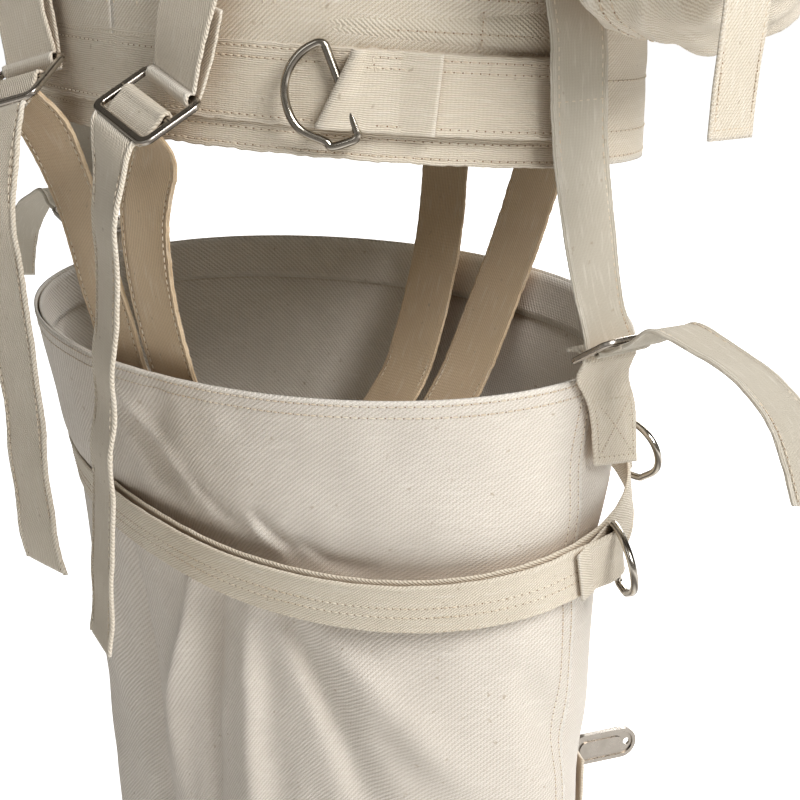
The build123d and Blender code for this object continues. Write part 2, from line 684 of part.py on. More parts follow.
def vest_oval_at(z):
    """Half width, half depth and shift of the vest at a height, read between its sections."""
    for low, high in zip(VEST_SECTIONS, VEST_SECTIONS[1:]):
        if low[0] <= z <= high[0]:
            share = (z - low[0]) / (high[0] - low[0])
            return [l + (h - l) * share for l, h in zip(low[1:], high[1:])]
    raise ValueError(f"no vest section at {z}")


def closure_oval(name):
    half_width, half_depth, shift = vest_oval_at(CLOSURES[name] + 15)
    return half_width + 3.0, half_depth + 3.0, shift


def closure_strap(name):
    """A strap across the back opening. Its right-hand length is folded round the buckle's bar."""
    half_width, half_depth, shift = closure_oval(name)
    z = CLOSURES[name]
    right = band(half_width, half_depth, shift, z, 30.0, WEB, (89.0, 148.0))
    left = band(half_width, half_depth, shift, z, 30.0, WEB, (32.0, 78.0))
    place = Plane(closure_buckle_place(name), x_dir=(0, 0, 1), z_dir=(0, 1, 0))
    fold = place * webbing_barrel(28.0, CLOSURE_HOLE)
    hole = place * (Rot(0, 90, 0) * Cylinder(CLOSURE_HOLE, 60))
    return Compound([right + fold - hole, left])


def closure_buckle_place(name):
    half_width, half_depth, shift = closure_oval(name)
    return Vector(0, shift + half_depth + 4.4, CLOSURES[name] + 15)


def closure_buckle(name):
    """A frame buckle with a hinged tongue bar, lying over the back opening."""
    place = Plane(closure_buckle_place(name), x_dir=(0, 0, 1), z_dir=(0, 1, 0))
    outer = RectangleRounded(42, 30, 5)
    inner = RectangleRounded(34.5, 22.5, 2)
    frame = Pos(0, 0, -1.3) * extrude(outer - inner, 2.6)
    frame = fillet(frame.edges().filter_by(Plane.XY), 0.9)
    return place * (frame + Rot(0, 90, 0) * Cylinder(1.5, 36))


def sleeve_strap(side):
    """From the sewn end of a sleeve to the opposite side of the vest."""
    if side == RIGHT:
        points = [(92, -172, 703), (112, -158, 701), (134, -133, 698), (150, -107, 695), (164, -84, 692)]
    else:
        points = [(-92, -150, 844), (-116, -126, 848), (-140, -96, 852), (-160, -66, 855), (-174, -38, 856)]
    return webbing([(p, (0, 0, 1)) for p in points], 24.0)


# ---------------------------------------------------------------- writing the parts

def build():
    parts = dict(vest_panels())
    parts.update(leg_panels())
    parts["collar"] = collar()
    parts["leg_top_facing"] = leg_top_facing()
    parts["leg_bottom_hem"] = leg_bottom_hem()
    parts["waist_hem_band"] = waist_band(GAP, 0.0, 46.0, 1.6, BACK_SECTOR)
    parts["waist_belt"] = waist_band(BELT_OUT, BELT_LOW, BELT_WIDTH, 2.2, BACK_SECTOR)
    parts["hip_belt"] = hip * band(HIP_A, HIP_B, 0, 0, HIP_WIDTH, HIP_BASE)
    parts["hip_strap_rear"] = hip_strap((HIP_REAR[0] - 6, HIP_REAR[1] + 6), [(184.0, LEFT), (-4.0, RIGHT)])
    parts["hip_strap_front"] = hip_strap((HIP_FRONT[0] - 6, HIP_FRONT[1] + 6), [(216.0, RIGHT), (324.0, LEFT)])
    for name in HIP_RINGS:
        parts[name] = hip_d_ring(name)
    parts["thigh_strap"] = thigh_strap()
    parts["lock_base"] = lock_base()
    parts["lock_pin"] = lock_pin()
    parts["lock_plate"] = lock_plate()
    parts["lock_rivets"] = rivets()
    for name in CLOSURES:
        parts[f"closure_strap_{name}"] = closure_strap(name)
        parts[f"closure_buckle_{name}"] = closure_buckle(name)
    for side in (RIGHT, LEFT):
        label = SIDE_NAME[side]
        parts[f"sleeve_{label}"] = sleeve(side)
        parts[f"sleeve_strap_{label}"] = sleeve_strap(side)
        parts[f"arm_tail_{label}"] = arm_tail(side)
        parts[f"casing_{label}"] = casing(side)
        parts[f"waist_ring_strap_{label}"] = waist_ring_strap(side)
        parts[f"waist_d_ring_{label}"] = waist_d_ring(side)
        parts[f"side_strap_{label}"] = mirrored(side_strap(), side)
        parts[f"side_tab_{label}"] = mirrored(side_tab(), side)
        parts[f"side_buckle_{label}"] = mirrored(side_buckle(), side)
        parts[f"side_loop_{label}"] = mirrored(side_loop(), side)
        parts[f"side_tail_{label}"] = mirrored(side_tail(), side)
        parts[f"hanger_{label}"] = mirrored(hanger(), side)
        parts[f"crotch_buckle_{label}"] = mirrored(crotch_buckle(), side)
        parts[f"crotch_loop_{label}"] = mirrored(crotch_loop(), side)
        parts[f"crotch_tail_{label}"] = crotch_tail(side)
        parts[f"crotch_strap_{label}"] = mirrored(crotch_strap(), side)
    return parts


def stood(shape):
    """Moves a part so that the origin is under the middle of the whole suit, front to back."""
    return Pos(0, SUIT_SHIFT, 0) * shape


if __name__ == "__main__":
    os.makedirs("parts", exist_ok=True)
    for node, part_shape in build().items():
        export_step(stood(part_shape), f"parts/{node}.step")
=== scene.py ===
"""How the canvas safety harness suit looks: cotton canvas, webbing, thread and nickelled wire.

Every soft CAD node is replaced by a modelled sheet or strap of the same place and size. The metal
fittings stay and get a new finish. Lengths are written in millimetres and become metres in a mesh.
"""

import math

import bpy
import numpy as np
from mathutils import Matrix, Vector


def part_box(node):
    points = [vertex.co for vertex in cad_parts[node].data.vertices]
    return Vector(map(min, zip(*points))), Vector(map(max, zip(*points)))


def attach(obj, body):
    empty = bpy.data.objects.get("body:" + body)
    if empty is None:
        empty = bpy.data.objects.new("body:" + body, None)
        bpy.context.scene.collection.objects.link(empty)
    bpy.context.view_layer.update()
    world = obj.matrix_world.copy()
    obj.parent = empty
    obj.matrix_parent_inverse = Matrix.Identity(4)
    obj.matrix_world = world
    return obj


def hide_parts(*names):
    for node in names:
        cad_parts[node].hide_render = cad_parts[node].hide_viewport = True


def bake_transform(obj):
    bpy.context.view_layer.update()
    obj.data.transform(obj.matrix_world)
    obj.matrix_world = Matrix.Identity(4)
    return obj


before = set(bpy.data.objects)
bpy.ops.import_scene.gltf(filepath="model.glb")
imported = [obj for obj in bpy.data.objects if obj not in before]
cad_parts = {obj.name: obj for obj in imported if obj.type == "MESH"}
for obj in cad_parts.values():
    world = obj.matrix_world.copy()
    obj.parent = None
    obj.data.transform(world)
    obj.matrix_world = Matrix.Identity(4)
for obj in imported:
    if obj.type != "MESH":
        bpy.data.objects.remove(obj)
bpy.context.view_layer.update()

MM = 0.001
RIGHT, LEFT = -1, 1
SIDE_NAME = {RIGHT: "right", LEFT: "left"}
SUIT = "suit"
HEM_LOW, HEM_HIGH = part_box("leg_bottom_hem")
BACK_SHIFT = (HEM_LOW.y + HEM_HIGH.y) / 2 / MM  # the leg sleeve's middle; courses are written round it
UP = (0, 0, 1)


# ---------------------------------------------------------------- numbers

def unit(v):
    v = np.asarray(v, float)
    return v / np.maximum(np.linalg.norm(v, axis=-1, keepdims=True), 1e-9)


def polar_direction(degrees):
    a = np.radians(degrees)
    return np.cos(a), np.sin(a)


def on_oval(degrees, a, b):
    """The point of an oval of half widths a and b in a polar direction."""
    c, s = polar_direction(degrees)
    reach = 1 / math.hypot(c / a, s / b)
    return reach * c, reach * s


def smoothed(rows, steps, closed=False):
    """The rows of numbers given, joined by a Catmull-Rom curve."""
    rows = np.asarray(rows, float)
    if closed:
        padded = np.vstack([rows[-1:], rows, rows[:2]])
    else:
        padded = np.vstack([rows[:1], rows, rows[-1:]])
    t = (np.arange(steps) / steps)[:, None]
    parts = []
    for a, b, c, d in zip(padded, padded[1:], padded[2:], padded[3:]):
        cubic = (3 * b - a - 3 * c + d) * t**3 + (2 * a - 5 * b + 4 * c - d) * t**2
        parts.append((cubic + (c - a) * t + 2 * b) / 2)
    parts.append(rows[:1] if closed else rows[-1:])
    return np.vstack(parts)


def waves(seed, lengths, count=5):
    """A slow random wave: a function of one or two distances in mm that stays within about 1."""
    rng = np.random.default_rng(seed)
    turn = rng.uniform(0, 2 * math.pi, count)
    phase = rng.uniform(0, 2 * math.pi, count)
    pitch = rng.uniform(lengths[0], lengths[1], count)

    def wave(u, v=0.0):
        total = 0.0
        for a, p, w in zip(turn, phase, pitch):
            total = total + np.sin((u * np.cos(a) + v * np.sin(a)) * 2 * math.pi / w + p)
        return total / count**0.5
    return wave


def hermite(x, xs, ys):
    """A smooth curve through (xs, ys), read at x."""
    xs, ys = np.asarray(xs, float), np.asarray(ys, float)
    slopes = np.gradient(ys, xs)
    i = np.clip(np.searchsorted(xs, x) - 1, 0, len(xs) - 2)
    h = xs[i + 1] - xs[i]
    t = np.clip((x - xs[i]) / h, 0, 1)
    start = (1 + 2 * t) * (1 - t) ** 2 * ys[i] + t * (1 - t) ** 2 * h * slopes[i]
    return start + t**2 * (3 - 2 * t) * ys[i + 1] + t**2 * (t - 1) * h * slopes[i + 1]


# ---------------------------------------------------------------- materials

class Nodes:
    """Builds a material's node tree with short calls."""

    def __init__(self, name):
        self.material = bpy.data.materials.new(name)
        self.material.use_nodes = True
        self.tree = self.material.node_tree
        self.shader = self.tree.nodes["Principled BSDF"]

    def set(self, socket, value):
        if isinstance(value, bpy.types.NodeSocket):
            self.tree.links.new(value, socket)
        else:
            socket.default_value = value

    def node(self, kind, inputs=(), **settings):
        made = self.tree.nodes.new("ShaderNode" + kind)
        for key, value in settings.items():
            setattr(made, key, value)
        for key, value in dict(inputs).items():
            self.set(made.inputs[key], value)
        return made

    def math(self, operation, a, b=0.0, c=0.0):
        return self.node("Math", {0: a, 1: b, 2: c}, operation=operation).outputs[0]

    def noise(self, vector, scale, detail=2.0, roughness=0.5):
        inputs = {"Vector": vector, "Scale": scale, "Detail": detail, "Roughness": roughness}
        return self.node("TexNoise", inputs).outputs["Fac"]

    def span(self, value, low, high, out_low=0.0, out_high=1.0):
        inputs = {"Value": value, "From Min": low, "From Max": high, "To Min": out_low, "To Max": out_high}
        return self.node("MapRange", inputs).outputs["Result"]

    def mix(self, share, a, b):
        made = self.node("Mix", data_type="RGBA")
        for key, value in ((0, share), (6, a), (7, b)):
            self.set(made.inputs[key], value)
        return made.outputs[2]

    def times(self, a, b):
        return self.math("MULTIPLY", a, b)

    def plus(self, a, b):
        return self.math("ADD", a, b)

    def finish(self, colour, roughness, height, depth):
        bump = self.node("Bump", {"Height": height, "Distance": depth, "Strength": 1.0})
        self.set(self.shader.inputs["Base Color"], colour)
        self.set(self.shader.inputs["Roughness"], roughness)
        self.set(self.shader.inputs["Normal"], bump.outputs["Normal"])
        return self.material


SLUB, SEED_FLECK = (0.93, 0.89, 0.81, 1.0), (0.36, 0.27, 0.17, 1.0)
# the first of the next two colours is painted shade, a brown laid into creases and undersides; the second is
# the paler colour of worn edges
PAINTED_CREASE_SHADE, WORN = (0.42, 0.27, 0.14, 1.0), (0.95, 0.92, 0.85, 1.0)


def ribs(nodes, value):
    """One smooth ridge for each whole number."""
    wave = nodes.math("SINE", nodes.times(value, math.pi))
    return nodes.math("ABSOLUTE", wave)


def plain_weave(nodes, u, v):
    """Warp over weft, thread by thread."""
    over = nodes.times(nodes.plus(v, nodes.math("FLOOR", u)), math.pi)
    under = nodes.times(nodes.plus(u, nodes.math("FLOOR", v)), math.pi)
    lift = nodes.math("MULTIPLY_ADD", nodes.math("COSINE", over), 0.5, 0.5)
    drop = nodes.math("MULTIPLY_ADD", nodes.math("COSINE", under), -0.5, 0.5)
    return nodes.math("MAXIMUM", nodes.times(ribs(nodes, u), lift), nodes.times(ribs(nodes, v), drop))


def twill(nodes, u, v):
    """Diagonal ridges, each crossed by fine threads."""
    ridge = ribs(nodes, nodes.plus(nodes.times(u, 0.6), v))
    return nodes.times(ridge, nodes.math("MULTIPLY_ADD", ribs(nodes, u), 0.35, 0.65))


def tape(nodes, u, v):
    """Ribs along the tape, with the weft showing between them."""
    cross = nodes.math("MULTIPLY_ADD", ribs(nodes, nodes.times(u, 0.8)), 0.3, 0.7)
    return nodes.times(ribs(nodes, v), cross)


def cotton(name, weave, colour, shade, pitch, depth):
    """A cotton cloth: weave, slubs, blotches, painted shade of a darker tan in the creases and paler worn
    edges.
    """
    nodes = Nodes(name)
    uv = nodes.node("TexCoord").outputs["UV"]
    place = nodes.node("NewGeometry")
    wander = nodes.node("TexNoise", {"Vector": uv, "Scale": 90.0, "Detail": 2.0}).outputs["Color"]
    moved = nodes.node("VectorMath", {0: wander, 1: (0.0012, 0.0012, 0.0)}, operation="MULTIPLY").outputs[0]
    moved = nodes.node("VectorMath", {0: uv, 1: moved}, operation="ADD").outputs[0]
    axes = nodes.node("SeparateXYZ", {"Vector": moved})
    u, v = (nodes.math("DIVIDE", axes.outputs[i], size * MM) for i, size in enumerate(pitch))
    threads = weave(nodes, u, v)
    stretched = nodes.node("Mapping", {"Vector": uv, "Scale": (60.0, 420.0, 1.0)}).outputs[0]
    slubs = nodes.noise(stretched, 1.0, 3.0)
    fuzz = nodes.noise(place.outputs["Position"], 2200.0, 2.0)
    blotch = nodes.noise(place.outputs["Position"], 16.0, 4.0, 0.6)
    fleck = nodes.noise(place.outputs["Position"], 260.0, 1.0)
    colour, shade = (*colour, 1.0), (*shade, 1.0)
    base = nodes.mix(nodes.span(threads, 0.0, 0.7), shade, colour)
    base = nodes.mix(nodes.span(blotch, 0.35, 0.7, 0.0, 0.22), base, shade)
    base = nodes.mix(nodes.span(slubs, 0.55, 0.8, 0.0, 0.35), base, SLUB)
    base = nodes.mix(nodes.span(fleck, 0.72, 0.8, 0.0, 0.5), base, SEED_FLECK)
    # painted shade: ambient occlusion darkens creases and undersides towards a brown tint
    crease_shade = nodes.node("AmbientOcclusion", {"Distance": 0.03}, samples=6).outputs["AO"]
    base = nodes.mix(nodes.span(crease_shade, 0.1, 0.72, 0.55, 0.0), base, PAINTED_CREASE_SHADE)
    worn = nodes.span(place.outputs["Pointiness"], 0.52, 0.60, 0.0, 0.5)
    base = nodes.mix(worn, base, WORN)
    height = nodes.plus(threads, nodes.times(slubs, 0.6))
    height = nodes.plus(height, nodes.times(fuzz, 0.35))
    nodes.set(nodes.shader.inputs["Sheen Weight"], 0.18)
    nodes.set(nodes.shader.inputs["Sheen Roughness"], 0.6)
    nodes.set(nodes.shader.inputs["Specular IOR Level"], 0.22)
    return nodes.finish(base, nodes.span(blotch, 0.3, 0.7, 0.82, 0.96), height, depth * MM)


def thread_finish():
    nodes = Nodes("cotton_thread")
    place = nodes.node("NewGeometry").outputs["Position"]
    ply = nodes.noise(place, 1800.0, 2.0)
    tint = nodes.noise(place, 30.0, 2.0)
    colour = nodes.mix(nodes.span(tint, 0.3, 0.7), (0.80, 0.74, 0.62, 1.0), (0.62, 0.50, 0.36, 1.0))
    return nodes.finish(colour, 0.75, ply, 0.2 * MM)


def hole_shade_finish():
    nodes = Nodes("needle_hole_shade")
    place = nodes.node("NewGeometry").outputs["Position"]
    grain = nodes.noise(place, 900.0, 2.0)
    # painted shade: the dark brown stands for the shade inside the needle hole
    colour = nodes.mix(grain, (0.20, 0.12, 0.07, 1.0), (0.34, 0.22, 0.13, 1.0))
    return nodes.finish(colour, 0.95, grain, 0.1 * MM)


PAINTED_REFLECTION_SIDE, PAINTED_REFLECTION_BANDS = (0.35, -0.45, 0.8), 7.0  # painted reflection: the metal's colour darkens in bands by the way it faces, as if it mirrored dark cards round it


def nickel_finish(name, colour, rough):
    """Polished nickel plate: fine draw lines, dull patches, dark bands of painted reflection and grime in the
    corners.
    """
    nodes = Nodes(name)
    place = nodes.node("NewGeometry")
    position = place.outputs["Position"]
    drawn = nodes.node("Mapping", {"Vector": position, "Scale": (900, 900, 60)}).outputs[0]
    scratches = nodes.noise(drawn, 1.0, 4.0)
    patches = nodes.noise(position, 120.0, 3.0)
    grime = nodes.node("AmbientOcclusion", {"Distance": 0.006}, samples=6).outputs["AO"]
    tint = nodes.mix(nodes.span(patches, 0.4, 0.75, 0.0, 0.5), colour, (0.46, 0.42, 0.36, 1.0))
    tint = nodes.mix(nodes.span(grime, 0.2, 0.8, 0.7, 0.0), tint, (0.10, 0.08, 0.06, 1.0))
    turned_to = {0: place.outputs["Normal"], 1: PAINTED_REFLECTION_SIDE}
    facing = nodes.node("VectorMath", turned_to, operation="DOT_PRODUCT").outputs["Value"]
    # painted reflection: near-black bands set by the surface's facing
    band = nodes.math("SINE", nodes.times(facing, PAINTED_REFLECTION_BANDS))
    tint = nodes.mix(nodes.span(band, 0.1, 0.9, 0.0, 0.86), tint, (0.09, 0.075, 0.06, 1.0))
    nodes.set(nodes.shader.inputs["Metallic"], 1.0)
    dull = nodes.span(patches, 0.35, 0.75, rough, rough + 0.16)
    height = nodes.plus(scratches, nodes.times(patches, 0.6))
    return nodes.finish(tint, dull, height, 0.03 * MM)


CANVAS = cotton("canvas_duck", plain_weave, (0.80, 0.735, 0.62), (0.60, 0.515, 0.39), (1.25, 1.05), 0.32)
LEG_CANVAS = cotton("canvas_leg", plain_weave, (0.80, 0.75, 0.68), (0.60, 0.54, 0.46), (1.5, 1.3), 0.32)
BELTING = cotton("belt_webbing", tape, (0.80, 0.725, 0.60), (0.58, 0.49, 0.36), (1.5, 1.0), 0.36)
TAPE = cotton("tape_webbing", tape, (0.60, 0.56, 0.47), (0.46, 0.40, 0.31), (1.1, 0.9), 0.26)
TWILL = cotton("twill_webbing", twill, (0.79, 0.72, 0.60), (0.55, 0.47, 0.35), (1.3, 1.5), 0.36)
# the next material is a browner copy of the webbing: painted shade for the crotch strap's shadowed inner face
SHADED_TAN = cotton("inner_webbing_shaded", tape, (0.76, 0.60, 0.41), (0.50, 0.36, 0.21), (1.6, 1.3), 0.4)
THREAD = thread_finish()
HOLE_SHADE = hole_shade_finish()
NICKEL = nickel_finish("nickel_wire", (0.62, 0.575, 0.50, 1.0), 0.12)
STEEL = nickel_finish("nickel_plate", (0.60, 0.55, 0.49, 1.0), 0.22)


# ---------------------------------------------------------------- meshes

FABRIC, SEWING, PUNCHED = range(3)  # a piece's material slots


def add_object(name, data):
    made = bpy.data.objects.new(name, data)
    bpy.context.scene.collection.objects.link(made)
    return made


class Draft:
    """Points, faces, weave coordinates and materials of a piece while it is being made."""

    def __init__(self):
        self.points, self.weave, self.faces, self.slots = [], [], [], []
        self.count = 0

    def grid(self, points, weave, closed=False, keep=None):
        """Adds rows of points joined by four-cornered faces; closed joins the last column to the first."""
        rows, columns = points.shape[:2]
        index = self.count + np.arange(rows * columns).reshape(rows, columns)
        if closed:
            index = np.hstack([index, index[:, :1]])
        faces = np.stack([index[:-1, :-1], index[:-1, 1:], index[1:, 1:], index[1:, :-1]], axis=-1)
        if keep is not None:
            faces = faces[keep]
        self.add(points.reshape(-1, 3), weave.reshape(-1, 2), faces.reshape(-1, 4), FABRIC)
        return index

    def add(self, points, weave, faces, slot):
        self.points.append(points)
        self.weave.append(weave)
        self.faces += [tuple(f) for f in np.asarray(faces).tolist()]
        self.slots += [slot] * len(faces)
        self.count += len(points)

    def face(self, corners):
        self.faces.append(tuple(int(c) for c in corners))
        self.slots.append(FABRIC)

    def make(self, name, body, materials, nodes=(), mirror=False, bend=None):
        """Makes a piece that rides on a body and stands for the CAD nodes named; a piece given a bend is left
        on no body, its place baked into its points.
        """
        points = (np.vstack(self.points) + (0, BACK_SHIFT, 0)) * MM
        weave = np.vstack(self.weave) * MM
        faces = self.faces
        if mirror:
            points[:, 0] *= -1
            faces = [f[::-1] for f in faces]
        mesh = bpy.data.meshes.new(name)
        mesh.from_pydata(points.tolist(), [], faces)
        corner = np.zeros(len(mesh.loops), int)
        mesh.loops.foreach_get("vertex_index", corner)
        mesh.uv_layers.new(name="weave").data.foreach_set("uv", weave[corner].ravel())
        mesh.polygons.foreach_set("material_index", self.slots)
        mesh.polygons.foreach_set("use_smooth", [True] * len(faces))
        for material in materials:
            mesh.materials.append(material)
        mesh.update()
        piece = add_object(name, mesh)
        if bend is None:
            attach(piece, body)
        else:
            child, start, end = bend
            flip = np.array((-MM if mirror else MM, MM, MM))
            start, end = (tuple((point + (0, BACK_SHIFT, 0)) * flip) for point in (start, end))
            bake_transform(piece)
        if nodes:
            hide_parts(*nodes)


STITCH, STITCH_PITCH = 2.7, 4.0
THREAD_R, HOLE_R = 0.34, 0.42
ROW_SUNK, LINE_RAISED = 0.3, 0.28  # a sewn row lies in a groove; a line lies on the face
THREAD_RING = np.radians(np.arange(0, 360, 60))


def stitched(draft, sheet, lines, height):
    """Sews lines of thread on a sheet. A line is ((s, x), (s, x)) in the sheet's own coordinates."""
    for (s0, x0), (s1, x1) in lines:
        length = math.hypot(s1 - s0, x1 - x0)
        count = int(length / STITCH_PITCH)
        if count < 1:
            continue
        ds, dx = (s1 - s0) / length, (x1 - x0) / length
        middle = (np.arange(count) + 0.5) * length / count
        reach = STITCH / 2 * np.array([-1.0, -0.6, 0.6, 1.0])
        radius = THREAD_R * np.array([0.3, 1.0, 1.0, 0.3])
        lift = height + THREAD_R * np.array([-1.0, 0.3, 0.3, -1.0])
        run = middle[:, None, None] + reach[None, :, None]
        side = (radius[:, None] * np.cos(THREAD_RING))[None]
        up = (lift[:, None] + radius[:, None] * np.sin(THREAD_RING))[None]
        points = sheet.at(s0 + ds * run - dx * side, x0 + dx * run + ds * side, up)
        sew_threads(draft, points)
        gap = middle + STITCH_PITCH / 2
        punch_holes(draft, sheet, s0 + ds * gap, x0 + dx * gap, height)


def sew_threads(draft, points):
    """Skins a row of short stitches, each a tapered tube."""
    count, rings, sides = points.shape[:3]
    index = np.arange(count * rings * sides).reshape(count, rings, sides)
    around = np.concatenate([index, index[:, :, :1]], axis=2)
    low, high = around[:, :-1], around[:, 1:]
    faces = np.stack([low[..., :-1], low[..., 1:], high[..., 1:], high[..., :-1]], axis=-1)
    flat = points.reshape(-1, 3)
    draft.add(flat, np.zeros((len(flat), 2)), faces.reshape(-1, 4) + draft.count, SEWING)


def punch_holes(draft, sheet, s, x, height):
    """Lays a small dark disc where the needle went in, between two stitches: painted shade of the needle
    hole.
    """
    across, along = HOLE_R * np.sin(THREAD_RING), HOLE_R * np.cos(THREAD_RING)
    points = sheet.at(s[:, None] + along, x[:, None] + across, height + 0.06)
    flat = points.reshape(-1, 3)
    faces = np.arange(len(flat)).reshape(len(s), 6)
    draft.add(flat, np.zeros((len(flat), 2)), faces + draft.count, PUNCHED)


# ---------------------------------------------------------------- straps

class Course:
    """The line a strap follows. At arc length s it knows its middle, its direction across and its outward
    direction.
    """

    def __init__(self, stations, face, closed=False, sharp=16):
        rows = [list(point) + list(across) for point, across in stations]
        fine = smoothed(rows, sharp, closed)
        self.middle, self.across = fine[:, :3], fine[:, 3:]
        lengths = np.linalg.norm(np.diff(self.middle, axis=0), axis=1)
        self.arc = np.concatenate([[0.0], np.cumsum(lengths)])
        self.length = float(self.arc[-1])
        self.along = unit(np.gradient(self.middle, self.arc, axis=0))
        if closed:
            self.along[0] = self.along[-1] = unit(self.along[0] + self.along[-1])
        out = unit(np.cross(self.along, self.across))
        self.out = out * np.sign(out[0] @ np.asarray(face, float))
        self.closed = closed

    def at(self, s, x, h):
        """Points at arc lengths s, x across the strap and h out of it."""
        s, x, h = np.broadcast_arrays(s, x, h)
        look = s % self.length if self.closed else np.clip(s, 0, self.length)
        beyond = 0.0 if self.closed else (s - look)[..., None]

        def read(table):
            return np.stack([np.interp(look, self.arc, table[:, k]) for k in range(3)], axis=-1)
        point = read(self.middle) + read(self.along) * beyond
        return point + read(self.across) * x[..., None] + read(self.out) * h[..., None]


def relief(x, width, rows, selvedge):
    """Height of a strap's face above flat: sewn rows sink in, and the woven edges stand up."""
    edge = width / 2 - 1.6
    height = selvedge * np.exp(-(((np.abs(x) - edge) / 0.8) ** 2))
    for row in rows:
        height = height - 0.38 * np.exp(-(((x - row) / 0.9) ** 2))
    return height


def strap_outline(width, thick, rows, selvedge, crown):
    """A strap's cross-section as a closed line of (across, out)."""
    r = thick / 2
    half = width / 2 - r
    face = np.linspace(-half, half, max(5, int(width / 0.95)))
    turn = np.radians([60, 30, 0, -30, -60])
    back = np.linspace(half, -half, max(4, int(width / 3)))
    top = r + relief(face, width, rows, selvedge) + crown * (1 - (face / half) ** 2)
    x = np.concatenate([face, half + r * np.cos(turn), back, -half - r * np.cos(turn)])
    h = np.concatenate([top, r * np.sin(turn), np.full(len(back), -r), -r * np.sin(turn)])
    return x, h


def strap(name, course, width, thick, body=SUIT, *, material=BELTING, rows=(), lines=(), nodes=(), both=False,
          selvedge=0.3, crown=0.0, ripple=0.25, mirror=False, bend=None):
    """A woven strap with rounded edges. rows are sewn the whole way; lines are other stitches, as (s, x)."""
    draft = Draft()
    x, h = strap_outline(width, thick, rows, selvedge, crown)
    s = np.linspace(0.0, course.length, max(6, int(course.length / 2.0)))
    if course.closed:
        s = s[:-1]
    seed = sum(ord(c) for c in name)
    rise = ripple * waves(seed, (35, 120))(s)
    fray = 1 + 0.012 * waves(seed + 1, (4, 18))(s)
    points = course.at(s[:, None], x[None] * fray[:, None], h[None] + rise[:, None])
    weave = np.stack(np.broadcast_arrays(s[:, None], x[None]), axis=-1)
    if course.closed:
        points = np.concatenate([points, points[:1]])
        weave = np.concatenate([weave, weave[:1] + [[[course.length, 0]]]])
    index = draft.grid(points, weave, closed=True)
    if not course.closed:
        draft.face(index[0, :-1][::-1])
        draft.face(index[-1, :-1])
    inset = 0.0 if course.closed else 2.5
    sewn = [((inset, row), (course.length - inset, row)) for row in rows]
    face = thick / 2 + crown * 0.9 - ROW_SUNK
    for way in (1, -1) if both else (1,):
        stitched(draft, course, sewn, way * face)
        stitched(draft, course, lines, way * (face + LINE_RAISED))
    draft.make(name, body, (material, THREAD, HOLE_SHADE), nodes, mirror, bend)


def pair_strap(kind, side, course, width, thick, body=SUIT, **looks):
    """A strap of a left and right pair: drawn for the right and mirrored for the left."""
    name = f"{kind}_{SIDE_NAME[side]}"
    strap("look_" + name, course, width, thick, body, nodes=[name], mirror=side == LEFT, **looks)


def level_stations(turn, a, b, shift, z):
    """Stations round a level oval, at the degrees given."""
    return [((x, y + shift, z), UP) for x, y in (on_oval(degrees, a, b) for degrees in turn)]


def box_stitch(s0, s1, half, cross=True):
    """A sewn box between two arc lengths, with a cross in it."""
    corners = [(s0, -half), (s1, -half), (s1, half), (s0, half)]
    lines = list(zip(corners, corners[1:] + corners[:1]))
    if cross:
        lines += [((s0, -half), (s1, half)), ((s0, half), (s1, -half))]
    return lines


def box_middle(node):
    low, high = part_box(node)
    return np.array((low + high) / 2) / MM - (0, BACK_SHIFT, 0)


def box_height(node):
    low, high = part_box(node)
    return (low.z + high.z) / 2 / MM


# ---------------------------------------------------------------- ovals and cloth shells

class Oval:
    """A stack of ovals: height above the hem, level, slope to the back, half width, half depth, shift."""

    def __init__(self, sections, per_degree, folds=None):
        table = np.asarray(sections, float)
        self.heights, self.columns = table[:, 0], table[:, 1:].T
        self.per_degree = per_degree
        self.folds = folds

    def section(self, v):
        return [hermite(v, self.heights, column) for column in self.columns]

    def base(self, degrees, v, out):
        level, slope, a, b, shift = self.section(v)
        c, s = polar_direction(degrees)
        reach = 1 / np.hypot(c / (a + out), s / (b + out))
        x, y = reach * c, reach * s
        return np.stack([x, y + shift, level + slope * (y + shift)], axis=-1)

    def at(self, s, x, h):
        """Points at s along the oval (mm, as degrees times per_degree), height x and h out of the cloth."""
        s, x, h = np.broadcast_arrays(np.asarray(s, float), np.asarray(x, float), np.asarray(h, float))
        degrees = s / self.per_degree
        if self.folds is not None:
            h = h + self.folds(degrees, x)
        return self.base(degrees, x, h)


def fold_field(folds, per_degree, ripple, seed):
    """Sculpted folds. Each is (points, width, height): a ridge or valley on a line of (degrees, height)."""
    small, broad = waves(seed, (18, 60), 9), waves(seed + 5, (70, 190), 7)

    def field(degrees, v):
        u = degrees * per_degree
        total = ripple * (0.35 * small(u, v) + broad(u, v))
        for points, width, height in folds:
            total = total + height * fold_profile(u, v, points, width, per_degree)
        return total
    return field


def fold_profile(u, v, points, width, per_degree):
    """1 on the fold's line and 0 away from it; it fades towards the fold's ends."""
    best = np.zeros(np.shape(u))
    line = np.asarray(points, float) * [per_degree, 1.0]
    count = len(line) - 1
    for i, (p, q) in enumerate(zip(line, line[1:])):
        d = q - p
        t = np.clip(((u - p[0]) * d[0] + (v - p[1]) * d[1]) / (d @ d), 0, 1)
        gap = np.hypot(u - p[0] - t * d[0], v - p[1] - t * d[1])
        share = (i + t) / count
        taper = np.sin(math.pi * np.clip(share * 0.84 + 0.08, 0, 1)) ** 0.7
        best = np.maximum(best, np.exp(-((gap / (width * (0.5 + 0.6 * share))) ** 2)) * taper)
    return best


